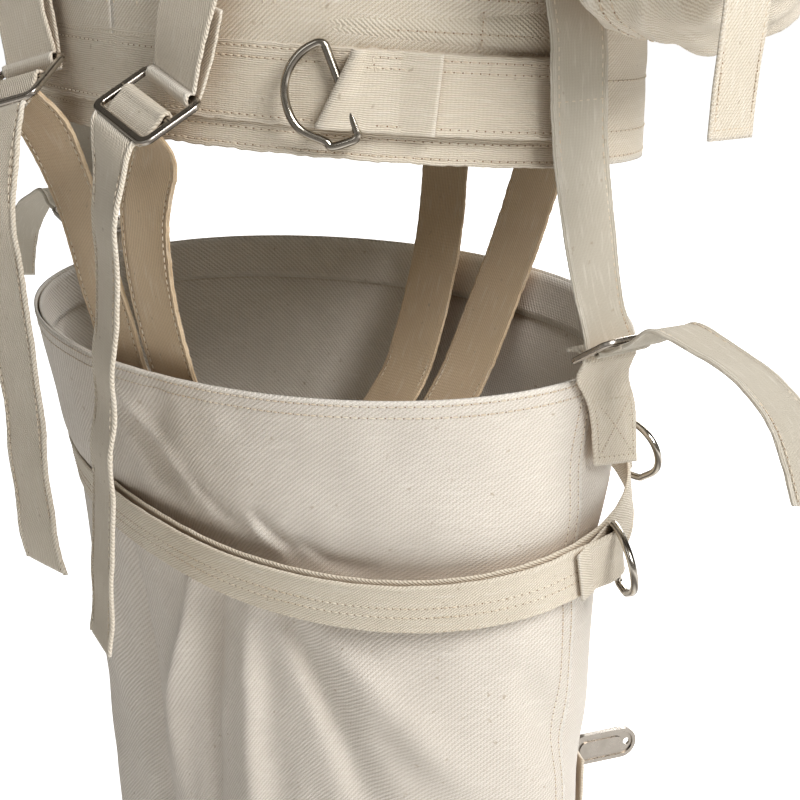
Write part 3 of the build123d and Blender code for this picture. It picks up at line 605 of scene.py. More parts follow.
def cloth(name, sheet, s_range, low, high, thick, *, material=CANVAS, nodes=(), sewn=(), step=3.0,
          cut=None, out=0.0):
    """A panel of cloth on a sheet, between the heights low and high; cut trims it."""
    draft = Draft()
    s = np.linspace(*s_range, max(4, int(abs(s_range[1] - s_range[0]) / step)))
    share = np.linspace(0, 1, max(4, int((high - low) / step)))[:, None]
    x = np.broadcast_to(low + (high - low) * share, (len(share), len(s)))
    s_all = np.broadcast_to(s, x.shape)
    outer = sheet.at(s_all, x, np.full(x.shape, out))
    inner = sheet.at(s_all, x, np.full(x.shape, out - thick))
    keep = None
    if cut is not None:
        outer, inner, gone = cut(outer, inner)
        keep = ~(gone[:-1, :-1] & gone[1:, :-1] & gone[:-1, 1:] & gone[1:, 1:])
    weave = np.stack([s_all, x], axis=-1)
    front = draft.grid(outer, weave, keep=keep)
    back = draft.grid(inner[:, ::-1], weave[:, ::-1], keep=None if keep is None else keep[:, ::-1])[:, ::-1]
    if keep is None:
        close_rim(draft, front, back)
    else:
        close_cut(draft, front, back, keep)
    stitched(draft, sheet, sewn, out + 0.05)
    draft.make(name, SUIT, (material, THREAD, HOLE_SHADE), nodes)


def close_rim(draft, front, back):
    """Joins the two faces of a panel along its four edges."""
    for a, b in ((front[0], back[0]), (front[:, -1], back[:, -1]), (front[-1, ::-1], back[-1, ::-1]),
                 (front[::-1, 0], back[::-1, 0])):
        for i in range(len(a) - 1):
            draft.face((a[i + 1], a[i], b[i], b[i + 1]))


def close_cut(draft, front, back, keep):
    """Joins the two faces of a panel along every edge that has a face on one side only."""
    rows, columns = keep.shape
    padded = np.zeros((rows + 2, columns + 2), bool)
    padded[1:-1, 1:-1] = keep
    for r in range(rows):
        for c in range(columns):
            if not keep[r, c]:
                continue
            edges = (((r, c), (r, c + 1), padded[r, c + 1]),
                     ((r, c + 1), (r + 1, c + 1), padded[r + 1, c + 2]),
                     ((r + 1, c + 1), (r + 1, c), padded[r + 2, c + 1]),
                     ((r + 1, c), (r, c), padded[r + 1, c]))
            for p, q, covered in edges:
                if not covered:
                    draft.face((front[q], front[p], back[p], back[q]))


# ---------------------------------------------------------------- leg sleeve

SEAM_Y = 10.0  # the side seams stand this far behind the middle
LEG_PER_DEGREE = 2.9  # mm of cloth for each degree round the sleeve
LEG_TOP, LEG_SLOPE = 500.0, math.tan(math.radians(-2.6))
LEG_SECTIONS = ((0, 166, 86, 0), (140, 176, 89, 2), (280, 183, 95, 5), (400, 184, 112, 8), (450, 186, 126, 8),
                (500, 192.5, 141, 6))
LEG_FOLDS = (
    (((83, 466), (92, 436), (104, 428)), 13, -5.0),
    (((84, 484), (97, 452), (108, 416)), 8, 3.4),
    (((100, 492), (97, 470), (92, 448)), 16, -2.6),
    (((104, 440), (112, 424), (118, 414)), 6, -3.6),
    (((122, 424), (128, 410), (131, 404)), 5, -3.8),
    (((120, 418), (125, 406)), 6, 2.6),
    (((131, 412), (139, 400), (146, 398)), 5, -2.6),
    (((97, 372), (90, 330), (77, 282), (72, 230)), 14, 5.0),
    (((106, 372), (100, 330), (92, 280), (90, 200)), 16, -4.6),
    (((118, 372), (114, 320), (112, 250), (110, 160)), 18, 3.6),
    (((126, 370), (133, 336), (141, 296), (150, 240)), 13, -4.4),
    (((134, 368), (146, 330), (156, 290), (166, 230)), 17, 2.6),
    (((150, 300), (160, 262), (176, 220), (184, 170)), 20, -3.0),
    (((172, 340), (178, 300), (190, 262)), 16, -2.4),
    (((64, 380), (60, 320), (56, 240), (58, 150)), 18, -4.0),
    (((46, 380), (44, 320), (40, 250)), 16, 3.4),
    (((240, 380), (244, 320), (250, 240), (248, 160)), 18, -3.6),
    (((262, 375), (268, 310), (270, 200)), 16, 3.2),
    (((290, 380), (292, 320), (288, 230)), 18, -3.4),
    (((318, 378), (314, 330), (322, 260)), 15, 2.6),
    (((220, 470), (228, 440), (236, 414)), 9, -3.0),
    (((300, 478), (306, 444), (312, 412)), 9, -3.2),
    (((262, 450), (270, 420), (276, 406)), 7, -3.4),
    (((20, 470), (30, 440), (40, 414)), 9, -3.2),
    (((-12, 380), (-8, 320), (-14, 240)), 15, -3.0),
    (((206, 372), (210, 320), (204, 250)), 13, 2.8),
)
FOLD_DEPTH = ((6, 13, 18), (0.9, 1.7, 2.3))  # broad folds are deeper
HIP_PINCH_Z = 392.0  # the hip belt draws the sleeve in here
LEG_TOP_ROWS, LEG_HEM_ROW = (11.0, 4.6), 27.0  # below the top edge, and above the lower edge


def leg_sheet():
    """The leg sleeve's ovals; the upper edge slopes, and the hip belt draws a waist into the cloth."""
    deep = [(points, width, height * np.interp(width, *FOLD_DEPTH)) for points, width, height in LEG_FOLDS]
    plain = fold_field(deep, LEG_PER_DEGREE, 0.9, 11)

    def folds(degrees, v):
        wrapped = (degrees + 90) % 360 - 90
        waist = 2.6 * np.exp(-(((v - HIP_PINCH_Z) / 15) ** 2))
        swell = 1.8 * np.exp(-(((v - HIP_PINCH_Z - 34) / 18) ** 2))
        calm = np.clip((v + 4) / 40, 0, 1) * np.clip((LEG_TOP + 4 - v) / 26, 0.12, 1)
        return (plain(wrapped, v) - waist + swell) * calm
    sections = [(z, z, LEG_SLOPE * max(0.0, z - 400) / 100, a, b, shift) for z, a, b, shift in LEG_SECTIONS]
    return Oval(sections, LEG_PER_DEGREE, folds)


def seam_degrees(a, b, shift):
    """Polar angle of the left side seam; the right one is its mirror image."""
    y = SEAM_Y - shift
    return math.degrees(math.atan2(y, a * math.sqrt(1 - (y / b) ** 2)))


def leg_sleeve(sheet):
    """Two canvas panels joined at the side seams, with a facing inside the top and a hem."""
    low, high = 1.0, LEG_TOP - 1.5
    seam = seam_degrees(183, 100, 5)
    p = LEG_PER_DEGREE
    back = ((seam - 0.6) * p, (180 - seam + 3.2) * p)
    front = ((180 - seam) * p, (360 + seam) * p)
    around = (0, 359.9 * p)
    rows = [((back[0] + 4, LEG_TOP - y), (back[1] - 4, LEG_TOP - y)) for y in LEG_TOP_ROWS]
    rows += [((s, 6), (s, LEG_TOP - 6)) for s in (back[1] - 2.6, back[1] - 8.4, back[0] + 2.6)]
    rows += [((back[0], LEG_HEM_ROW), (back[1], LEG_HEM_ROW))]
    cloth("look_leg_sleeve_back", sheet, back, low, high, 1.5, material=LEG_CANVAS,
          nodes=["leg_sleeve_back"], sewn=rows, step=2.5)
    heights = [LEG_TOP - y for y in LEG_TOP_ROWS] + [LEG_HEM_ROW]
    rows = [((front[0], y), (front[1], y)) for y in heights]
    cloth("look_leg_sleeve_front", sheet, front, low, high, 1.3, material=LEG_CANVAS,
          nodes=["leg_sleeve_front"], sewn=rows, out=-0.75)
    cloth("look_leg_top_facing", sheet, around, LEG_TOP - 26, LEG_TOP - 2.5, 1.2, material=LEG_CANVAS,
          nodes=["leg_top_facing"], out=-2.7)
    cloth("look_leg_bottom_hem", sheet, around, 2.6, 26.5, 1.5, material=LEG_CANVAS,
          nodes=["leg_bottom_hem"], out=2.2, sewn=[((0, y), (359 * p, y)) for y in (5.5, 23.0)])


# ---------------------------------------------------------------- vest

WAIST_Z, WAIST_TILT = 599.5, 4.3
WAIST_A, WAIST_B, WAIST_SHIFT, WAIST_TALL = 187.0, 141.0, 2.0, 80.0
VEST_PER_DEGREE = 2.8  # mm of cloth for each degree round the vest
PRINCESS = 54  # the princess seams' angle from the side
SIDE_ROWS, OPENING_ROWS, PRINCESS_ROWS = (2.6, 8.2), (3.0, 22.0), (0, 5.5)  # rows beside a seam or edge
VEST_SECTIONS = ((722, 183, 131, 4), (800, 176, 122, 6), (880, 178, 122, 6), (950, 184, 122, 5),
                 (1005, 182, 114, 4), (1045, 166, 100, 4), (1078, 132, 84, 4), (1100, 98, 72, 4),
                 (1116, 76, 64, 4))
VEST_FOLDS = (
    (((150, 96), (146, 140), (150, 190)), 12, 2.6),
    (((136, 98), (130, 130), (126, 170)), 12, -2.8),
    (((160, 100), (166, 140), (170, 190)), 10, -2.4),
    (((112, 100), (108, 150), (112, 210)), 14, 2.4),
    (((70, 100), (74, 150), (68, 210)), 14, 2.6),
    (((44, 98), (50, 130), (54, 176)), 12, -2.8),
    (((20, 100), (14, 140), (10, 190)), 10, -2.4),
    (((86, 120), (84, 180), (86, 260)), 14, -2.2),
    (((96, 220), (98, 280), (92, 340)), 14, 2.0),
    (((160, 300), (150, 330), (132, 350)), 12, 2.8),
    (((20, 300), (30, 330), (48, 350)), 12, 2.8),
    (((156, 340), (140, 366), (122, 380)), 10, -2.4),
    (((24, 340), (40, 366), (58, 380)), 10, -2.4),
    (((205, 300), (220, 330), (240, 350)), 12, 2.8),
    (((335, 300), (320, 330), (300, 350)), 12, 2.8),
    (((240, 20), (244, 70), (238, 120)), 14, -2.6),
    (((256, 10), (258, 60), (262, 130)), 12, 2.6),
    (((285, 12), (282, 70), (276, 120)), 14, -2.4),
    (((300, 20), (304, 70), (300, 130)), 12, 2.6),
    (((262, 200), (270, 240), (282, 290)), 16, 2.4),
    (((222, 220), (236, 250), (250, 300)), 14, -2.2),
    (((318, 220), (304, 250), (290, 300)), 14, -2.2),
)


def vest_sheet():
    """The waist's tilted ovals with the level ovals of the chest and neck above them."""
    slope = math.tan(math.radians(WAIST_TILT))
    rows = [(v, WAIST_Z + v, slope, WAIST_A, WAIST_B, WAIST_SHIFT) for v in (-4, 30, WAIST_TALL)]
    for z, a, b, shift in VEST_SECTIONS:
        rows.append((z - WAIST_Z, z, 0.0 if z > 740 else slope * 0.3, a, b, shift))
    plain = fold_field(VEST_FOLDS, VEST_PER_DEGREE, 1.1, 23)

    def folds(degrees, v):
        wrapped = degrees % 360
        behind = (wrapped > 3) & (wrapped < 177)
        # the belt holds the cloth flat at the back; the front is free
        belted = np.where(behind, np.clip((v - 70) / 30, 0, 1), np.clip((v - 6) / 50, 0, 1))
        buckle = np.exp(-(((wrapped - 90) / 17) ** 2) - ((v + WAIST_Z - 962) / 36) ** 2)
        calm = np.clip((505 - v) / 40, 0, 1)  # the cloth lies smooth at the neck and under the upper buckle
        return plain(wrapped, v) * belted * calm * (1 - 0.9 * buckle) - 1.2 * buckle
    return Oval(rows, VEST_PER_DEGREE, folds)


ARM_CENTRE = np.array((165.0, 4.0, 996.0))
ARM_ALONG = unit((0.953, 0.0, 0.302))
ARMHOLE_LOW = 924.0


def cut_armholes(outer, inner):
    """Trims the cloth to the flat ovals where the sleeves are sewn on."""
    gone = np.zeros(outer.shape[:2], bool)
    for side in (RIGHT, LEFT):
        along = ARM_ALONG * [side, 1, 1]
        centre = ARM_CENTRE * [side, 1, 1]
        for sheet in (outer, inner):
            beyond = (sheet - centre) @ along
            out = (beyond > 0) & (sheet[..., 2] > ARMHOLE_LOW)
            sheet[..., 0] -= np.where(out, beyond / along[0], 0.0)
            if sheet is outer:
                gone |= out
    return outer, inner, gone


def vest(sheet):
    """One front panel and two back panels that meet at the opening."""
    p = VEST_PER_DEGREE
    top = VEST_SECTIONS[-1][0] - WAIST_Z
    low = 0.3
    seam = seam_degrees(WAIST_A, WAIST_B, WAIST_SHIFT)
    opening = 90 * p
    for label, side_seam, princess, inward in (("right", 180 - seam, 180 - PRINCESS, -1),
                                               ("left", seam, PRINCESS, 1)):
        side_seam, princess = side_seam * p, princess * p
        s0, s1 = sorted((side_seam, opening))
        upright = [(side_seam + inward * d, 84, 320) for d in SIDE_ROWS]
        upright += [(opening - inward * d, 60, top - 6) for d in OPENING_ROWS]
        upright += [(princess + d, 66, 400) for d in PRINCESS_ROWS]
        sewn = [((s, start), (s, end)) for s, start, end in upright] + [((s0 + 4, 74.5), (s1 - 4, 74.5))]
        cloth(f"look_vest_back_{label}", sheet, (s0, s1), low, top, 1.6, nodes=[f"vest_back_panel_{label}"],
              sewn=sewn, cut=cut_armholes)
    front = ((180 - seam) * p, (360 + seam) * p)
    rows = [((front[0] + 4, y), (front[1] - 4, y)) for y in (4.0, 16.0, 40.0)]
    rows += [(((270 + d) * p, 44), ((270 + d) * p, top - 10)) for d in (-28, -26.2, 28, 26.2)]
    cloth("look_vest_front", sheet, front, low, top, 1.5, step=3.4, nodes=["vest_front_panel"],
          sewn=rows, cut=cut_armholes, out=-0.4)


def waist_at(degrees, out, height):
    """A point of the waistband's oval, its outward direction and the waist plane's up direction."""
    a, b = WAIST_A + out, WAIST_B + out
    x, y = on_oval(degrees, a, b)
    t = math.radians(WAIST_TILT)
    right, back, up = np.array(((1, 0, 0), (0, math.cos(t), math.sin(t)), (0, -math.sin(t), math.cos(t))))
    normal = unit(np.array((x / a**2, y / b**2, 0)))
    point = np.array((0, 0, WAIST_Z)) + right * x + back * (y + WAIST_SHIFT) + up * height
    return point, right * normal[0] + back * normal[1], up


def waist_course(start, end, out, height):
    places = [waist_at(d, out, height) for d in np.linspace(start, end, max(4, int(abs(end - start) / 6)))]
    return Course([(point, up) for point, _, up in places], places[0][1])


BELT_LOW, BELT_WIDTH = 13.3, 37.5
BELT_MIDDLE, BELT_TOP = BELT_LOW + BELT_WIDTH / 2, BELT_LOW + BELT_WIDTH
BELT_FACE = 5.0  # how far the belt's outer face stands off the waist's oval
BELT_SPAN = (175.2, 4.8)  # the belt crosses the back, from the right side to the left
RING_POLAR, RING_LEAN = 138.5, 24.0
BAR_OFF, FOLD_RADIUS = 4.1, 3.1  # a ring's bar off the strap below it, and the fold round the bar
FOLD_BACK = 44.0  # the folded strap's end behind the bar


def waistband():
    strap("look_waist_hem", waist_course(*BELT_SPAN, 1.3, 23), 46, 1.5, nodes=["waist_hem_band"],
          rows=(-20.2, -12.6), ripple=0.12, selvedge=0.2)
    strap("look_waist_belt", waist_course(*BELT_SPAN, 3.5, BELT_MIDDLE), BELT_WIDTH, 2.0,
          nodes=["waist_belt"], rows=(15.6, 10.8, -15.4), ripple=0.15)
    for side in (RIGHT, LEFT):
        pair_strap("casing", side, waist_course(171, 126.4, 1.6, BELT_TOP + 10.2), 18.5, 2.4, material=CANVAS,
                   rows=(-1.6,), crown=1.9, selvedge=0.0, lines=[((42.0, -8), (42.0, 8))])
        ring_fold(side)


def ring_fold(side):
    """The doubled strap on top of the belt, folded on a slant round the D-ring's bar."""
    point, normal, up = waist_at(RING_POLAR, BELT_FACE, BELT_MIDDLE)
    bow = unit(np.cross(up, normal)) * -1
    centre = point + normal * BAR_OFF
    lean = math.radians(RING_LEAN)
    slanted = (up * math.cos(lean) - bow * math.sin(lean)) / math.cos(lean)
    begin = 172.4
    stations = [(waist_at(degrees, BELT_FACE + 2.9, BELT_MIDDLE)[0], up)
                for degrees in np.linspace(begin, RING_POLAR + 7, 8)]
    back = unit(np.cross(normal, up))
    if back @ (stations[0][0] - centre) < 0:
        back = -back
    for run, rise in ((9.0, 0.4), (4.5, 2.2)):
        stations.append((centre + back * run + normal * rise, up + (slanted - up) * (1 - run / 14)))
    for turn in (90, 45, 0, -45, -90):
        a = math.radians(turn)
        place = centre - back * FOLD_RADIUS * math.cos(a) + normal * FOLD_RADIUS * math.sin(a)
        stations.append((place, slanted))
    for run in (8.0, 24.0, FOLD_BACK):
        stations.append((centre + back * run - normal * 3.2, up + (slanted - up) * (1 - run / 50)))
    course = Course(stations, waist_at(begin, BELT_FACE, BELT_MIDDLE)[1])
    fold = course.length - FOLD_BACK - 12
    lines = [((2, x), (fold - gap, x)) for x, gap in ((15.2, 10), (10.4, 8), (-15.0, 16))]
    pair_strap("waist_ring_strap", side, course, BELT_WIDTH - 1.0, 1.7, ripple=0.0,
               lines=lines + [((fold - 13, 8), (fold - 9.5, 16))])


# ---------------------------------------------------------------- buckles' straps

def buckle_axes(bar_run, up):
    """A buckle's directions: along its bars, up in its plane and out of its face."""
    x = unit(bar_run)
    z = unit(np.cross(x, up))
    return x, np.cross(z, x), z


SIDE_AXES = buckle_axes((-0.16, -0.987, 0.0), (-0.845, 0.137, 0.517))
CROTCH_AXES = buckle_axes((-0.954, 0.145, -0.262), (-0.264, -0.818, 0.511))
SIDE_EDGE, CROTCH_EDGE = 13.8, 15.8  # from a buckle's middle to its outer bars
SIDE_WIDTH = 34.0
BAR_TURN = 2.8  # the radius of a strap's turn round a middle bar


def turn_about(centre, axes, radius, y, start, end, count):
    """Stations that go round a buckle's bar at height y, from one angle to another."""
    x, up, out = axes
    stations = []
    for degrees in np.linspace(start, end, count):
        c, s = polar_direction(degrees)
        stations.append((centre + up * (y + radius * c) + out * radius * s, x))
    return stations


def on_buckle(centre, axes, points):
    """Stations at (up, out) places in a buckle's own plane."""
    x, up, out = axes
    return [(centre + up * y + out * z, x) for y, z in points]


def turned(degrees):
    """A level direction."""
    c, s = polar_direction(degrees)
    return np.array((c, s, 0.0))


def side_set(side):
    """The side strap, its run through the slide buckle, the free end and the canvas tab."""
    centre = box_middle("side_buckle_right")
    x_axis, up, out = SIDE_AXES
    body, tail_body = f"side_buckle_{SIDE_NAME[side]}", f"side_tail_{SIDE_NAME[side]}"
    stations = [
        ((-190.5, 31.0, 690.0), turned(80)),
        ((-196.6, 32.0, 664.0), turned(80)),
        ((-198.8, 33.0, 640.0), turned(80)),
        ((-198.8, 30.0, 610.0), turned(81)),
        ((-197.7, 19.0, 568.0), turned(84)),
        ((-198.0, 13.0, 545.0), turned(87)),
        ((-200.5, 10.6, 531.0), turned(90)),
        (centre - up * 6.0 - out * 0.6, -x_axis),
    ]
    upper = Course(stations, (-1, 0, 0))
    pair_strap("side_strap", side, upper, SIDE_WIDTH, 1.8, material=TAPE, rows=(-13.4,), selvedge=0.7,
               ripple=0.35, lines=[((6, -15), (6, 15)), ((10, 13.0), (84, 13.0)), ((56, -15), (56, 15))],
               bend=(body, np.array(stations[5][0]), np.array(stations[7][0])))
    turn = turn_about(centre, SIDE_AXES, BAR_TURN, 0, 190, 20, 7)
    into = on_buckle(centre, SIDE_AXES, [(-7.5, -1.8)])
    away = on_buckle(centre, SIDE_AXES, [(7.5, 2.8), (SIDE_EDGE, 3.4), (SIDE_EDGE + 4.2, 3.6)])
    pair_strap("side_loop", side, Course(into + turn + away, -out), SIDE_WIDTH, 1.8, body, material=TAPE,
               ripple=0.0, selvedge=0.5)
    start = on_buckle(centre, SIDE_AXES, [(SIDE_EDGE + 4.6, 3.6), (SIDE_EDGE + 10.0, 3.7)])
    tail = Course([(p, -w) for p, w in start] + [
        ((-243.0, 11.0, 532.5), (0.16, 0.98, 0.05)),
        ((-263.0, 7.0, 524.5), (0.18, 0.96, 0.12)),
        ((-285.0, 3.0, 513.0), (0.22, 0.95, 0.18)),
        ((-304.0, -1.0, 493.0), (0.24, 0.95, 0.20)),
        ((-316.0, -4.0, 460.0), (0.24, 0.95, 0.20)),
    ], (0, 0, 1))
    pair_strap("side_tail", side, tail, SIDE_WIDTH - 1, 1.8, body, material=TAPE, rows=(13.0, -13.0),
               both=True, ripple=0.6, selvedge=0.7, bend=(tail_body, start[0][0], start[1][0]))
    hinge = on_buckle(centre, SIDE_AXES, [(-SIDE_EDGE, 0)])[0][0]
    tab = Course([
        (hinge + (7.2, -1.0, 3.4), -x_axis),
        (hinge + (3.4, -0.6, 4.6), -x_axis),
        (hinge + (-1.0, 0, 4.2), -x_axis),
        (hinge + (-4.0, 0.4, 0.0), -x_axis),
        (hinge + (-1.6, 0, -5.0), (0.16, 0.987, 0)),
        ((-197.8, hinge[1] - 2.5, hinge[2] - 13.0), (0.14, 0.98, 0.06)),
        ((-194.9, -8.0, 478.0), (0.06, 0.98, 0.14)),
        ((-190.9, -18.0, 446.0), (0.02, 0.98, 0.16)),
    ], (0, 0, 1))
    pair_strap("side_tab", side, tab, SIDE_WIDTH + 1, 2.0, material=CANVAS, ripple=0.2, selvedge=0.15,
               both=True, lines=box_stitch(tab.length - 42, tab.length - 5, 14.0))


def hanger_set(side):
    """The hanger round the crotch buckle's upper bar, and the crotch strap with its free end."""
    centre = box_middle("crotch_buckle_right")
    x_axis, up, out = CROTCH_AXES
    body, tail_body = f"crotch_buckle_{SIDE_NAME[side]}", f"crotch_tail_{SIDE_NAME[side]}"
    hanger = Course([
        ((-92.0, 132.3, 828.0), (1, 0.34, 0.10)),
        ((-88.0, 137.4, 785.0), (1, 0.24, 0.14)),
        ((-81.0, 143.4, 740.0), (1, 0.12, 0.18)),
        ((-73.0, 148.4, 700.0), (1, 0.04, 0.22)),
        ((-63.5, 152.2, 665.0), (0.97, -0.06, 0.24)),
    ] + [(p, -w) for p, w in turn_about(centre, CROTCH_AXES, 3.9, CROTCH_EDGE, 60, 270, 7)]
        + [((-62.0, 146.8, 658.0), (0.97, -0.04, 0.24)), ((-67.0, 146.6, 678.0), (1, 0, 0.22))], (0, 1, 0))
    pair_strap("hanger", side, hanger, BELT_WIDTH, 1.7, material=TWILL, ripple=0.35,
               lines=box_stitch(6, 40, 15.0) + [((44, x), (148, x)) for x in (14.8, -14.8)])
    under = [(point, (1, 0, 0)) for point in (
        (-42.0, -143.8, 622.0), (-41.0, -141.5, 596.0), (-36.0, -134.0, 555.0), (-28.0, -117.0, 500.0),
        (-22.0, -86.0, 438.0), (-21.0, -42.0, 400.0), (-21.0, 15.0, 390.0), (-21.0, 72.0, 412.0),
        (-21.0, 118.0, 462.0))]
    under += [
        ((-21.0, 139.0, 520.0), (1, 0, 0.05)),
        ((-26.0, 149.0, 570.0), (1, 0, 0.15)),
        ((-44.0, 154.5, 606.5), (0.98, -0.10, 0.24)),
    ]
    run = Course(under + [(centre - up * 6.5 - out * 3.2, -x_axis)], (0, -1, 0))
    # the crotch strap takes the browner webbing, painted shade of its inner face
    pair_strap("crotch_strap", side, run, BELT_WIDTH, 1.8, material=SHADED_TAN, ripple=0.4, rows=(15.4, -15.4),
               both=True, selvedge=0.4, lines=box_stitch(2, 22, 15.4),
               bend=(body, np.array(under[-2][0]), run.middle[-1]))
    turn = turn_about(centre, CROTCH_AXES, BAR_TURN, 0, -100, 150, 8)
    into = on_buckle(centre, CROTCH_AXES, [(-7.0, -3.4)])
    away = [(-9.0, -0.8), (-CROTCH_EDGE + 3, -2.8), (-CROTCH_EDGE - 1.0, -3.2)]
    loop = Course(into + turn + on_buckle(centre, CROTCH_AXES, away), -out)
    pair_strap("crotch_loop", side, loop, BELT_WIDTH, 1.7, body, material=TWILL, ripple=0.0)
    start = on_buckle(centre, CROTCH_AXES, [(-CROTCH_EDGE - 1.4, -3.1), (-CROTCH_EDGE - 5.0, -3.1)])
    courses = {
        RIGHT: ((-49, 188, 588, -20), (-47, 188, 548, -22), (-41, 188, 490, -23), (-34, 187, 430, -22),
                (-24, 184, 358, -22)),
        LEFT: ((-47, 188, 585, -10), (-40, 189, 548, -2), (-31, 188, 490, 2), (-28, 186, 430, 4),
               (-23, 183, 386, 2)),
    }
    hanging = [((x, y, z), turned(angle)) for x, y, z, angle in courses[side]]
    tail = Course([(p, -w) for p, w in start] + hanging, (0, 1, 0.4))
    pair_strap("crotch_tail", side, tail, BELT_WIDTH, 1.9, body, material=TWILL, ripple=0.9,
               rows=(15.2, -15.2), both=True, selvedge=0.6, bend=(tail_body, start[0][0], start[1][0]))


# ---------------------------------------------------------------- hip belt and thigh strap

HIP_TILT, HIP_ROLL = math.radians(-14.0), math.radians(2.5)
HIP_MIDDLE = np.array((-2.0, -1.0, 392.0))
HIP_A, HIP_B, HIP_WIDTH = 190.5, 130.0, 30.0
HIP_ACROSS = np.array((math.cos(HIP_ROLL), 0, math.sin(HIP_ROLL)))
HIP_BACK = np.array((0, math.cos(HIP_TILT), math.sin(HIP_TILT)))
HIP_UP = np.cross(HIP_ACROSS, HIP_BACK)
# The belt is drawn in and up at the left of the back: (degrees, millimetres).
HIP_PULL = ((0, 10, 20, 40, 60, 84, 130, 184, 360), (0, -3.5, -8, -13, -13, -10, -5, 0, 0))
HIP_LIFT = ((0, 30, 60, 84, 116, 148, 184, 200, 360), (0, 6, 14, 17, 12, 6, 2, 0, 0))
HIP_RINGS = {"hip_rear": ((184.0, -4.0), "hip_strap_rear"), "hip_front": ((216.0, 324.0), "hip_strap_front")}
HIP_FACE, HIP_FOLD_RADIUS, HIP_STRAP_LIFT = 2.6, 3.2, 2.7


def hip_at(degrees, out, height):
    """A point of the hip belt's tilted oval, its outward direction and its up direction."""
    out = out + hermite(degrees % 360, *HIP_PULL)
    height = height + hermite(degrees % 360, *HIP_LIFT)
    a, b = HIP_A + out, HIP_B + out
    x, y = on_oval(degrees, a, b)
    normal = unit(HIP_ACROSS * x / a**2 + HIP_BACK * y / b**2)
    return HIP_MIDDLE + HIP_ACROSS * x + HIP_BACK * y + HIP_UP * height, normal, HIP_UP


def hip_belt():
    stations = [(hip_at(d, 1.1, HIP_WIDTH / 2)[0], HIP_UP) for d in np.arange(0, 360, 8)]
    course = Course(stations, (1, 0, 0), closed=True)
    strap("look_hip_belt", course, HIP_WIDTH, 1.7, material=TWILL, nodes=["hip_belt"], rows=(-11.6,),
          ripple=0.0)
    for name, ((start, end), node) in HIP_RINGS.items():
        ring_course = Course(hip_strap_stations(start, end), -hip_at(start, 3, 10)[1])
        length = ring_course.length
        lines = [((gap, x), (length - gap, x)) for gap, x in ((66, -4.6), (66, 1.0), (60, -13.0))]
        strap(f"look_{name}", ring_course, HIP_WIDTH - 1.4, 1.6, material=TWILL, nodes=[node], ripple=0.0,
              lines=lines, both=True)


def hip_strap_stations(start, end):
    """The upper strap of the hip belt, with its ends folded round the rings' bars."""
    height = HIP_WIDTH / 2
    sweep = end - start
    sign = math.copysign(1.0, sweep)
    stations = []
    for degrees, forward in ((start, sign), (end, -sign)):
        point, normal, up = hip_at(degrees, HIP_FACE, height)
        centre = point + normal * BAR_OFF
        tangent = unit(np.cross(up, normal))
        ahead = unit(hip_at(degrees + forward * 4, HIP_FACE, height)[0] - point)
        tangent = tangent * math.copysign(1.0, tangent @ ahead)
        curl = [(centre + tangent * run - normal * 3.0, up) for run in (30.0, 12.0)]
        for turn in (-90, -45, 0, 45, 90):
            a = math.radians(turn)
            place = centre - tangent * HIP_FOLD_RADIUS * math.cos(a) + normal * HIP_FOLD_RADIUS * math.sin(a)
            curl.append((place, up))
        curl.append((centre + tangent * 8.0 + normal * 2.0, up))
        stations.append(curl)
    middle = []
    for degrees in np.linspace(start + sign * 7, end - sign * 7, max(6, int(abs(sweep) / 8))):
        point, _, up = hip_at(degrees, HIP_FACE + HIP_STRAP_LIFT, height)
        middle.append((point, up))
    return stations[0] + middle + stations[1][::-1]


THIGH_A, THIGH_B, THIGH_SHIFT = 186.0, 97.5, 4.0


def thigh_strap():
    """Crosses the front of the leg sleeve."""
    z = box_height("thigh_strap")
    stations = level_stations(np.linspace(200, 340, 26), THIGH_A, THIGH_B, THIGH_SHIFT, z)
    course = Course(stations, (-1, 0, 0))
    length = course.length
    strap("look_thigh_strap", course, BELT_WIDTH, 1.8, nodes=["thigh_strap"], rows=(15.4, -15.4), ripple=0.1,
          lines=box_stitch(3, 20, 14) + box_stitch(length - 20, length - 3, 14))


# ---------------------------------------------------------------- sleeves

SLEEVE_COMMON = (
    ((165.0, 4, 996), (0.953, 0.0, 0.302), 50, 72),
    ((210.8, 8, 982), (0.93, 0.03, -0.36), 56, 62),
    ((236, 12, 956), (0.62, 0.08, -0.78), 60, 60),
    ((248, 26, 880), (0.12, 0.12, -1.0), 60, 55),
    ((250, 42, 795), (0.00, 0.06, -1.0), 60, 51),
    ((245, 30, 724), (-0.10, -0.75, -0.65), 58, 49),
)
FOREARMS = {
    RIGHT: (((231, -36, 708), (-0.28, -1.0, 0.05), 52, 42), ((184, -126, 714), (-0.75, -0.75, 0.02), 46, 34),
            ((100, -180, 716), (-1.0, -0.22, 0.0), 42, 30), ((0, -190, 712), (-1.0, 0.02, -0.02), 40, 29),
            ((-84, -174, 704), (-1.0, 0.15, -0.04), 34, 9)),
    LEFT: (((231, -36, 718), (-0.28, -1.0, 0.25), 52, 42), ((184, -126, 756), (-0.75, -0.75, 0.40), 46, 34),
           ((100, -172, 800), (-1.0, -0.22, 0.42), 42, 30), ((0, -172, 828), (-1.0, 0.04, 0.22), 40, 29),
           ((-84, -152, 842), (-1.0, 0.18, 0.16), 34, 9)),
}


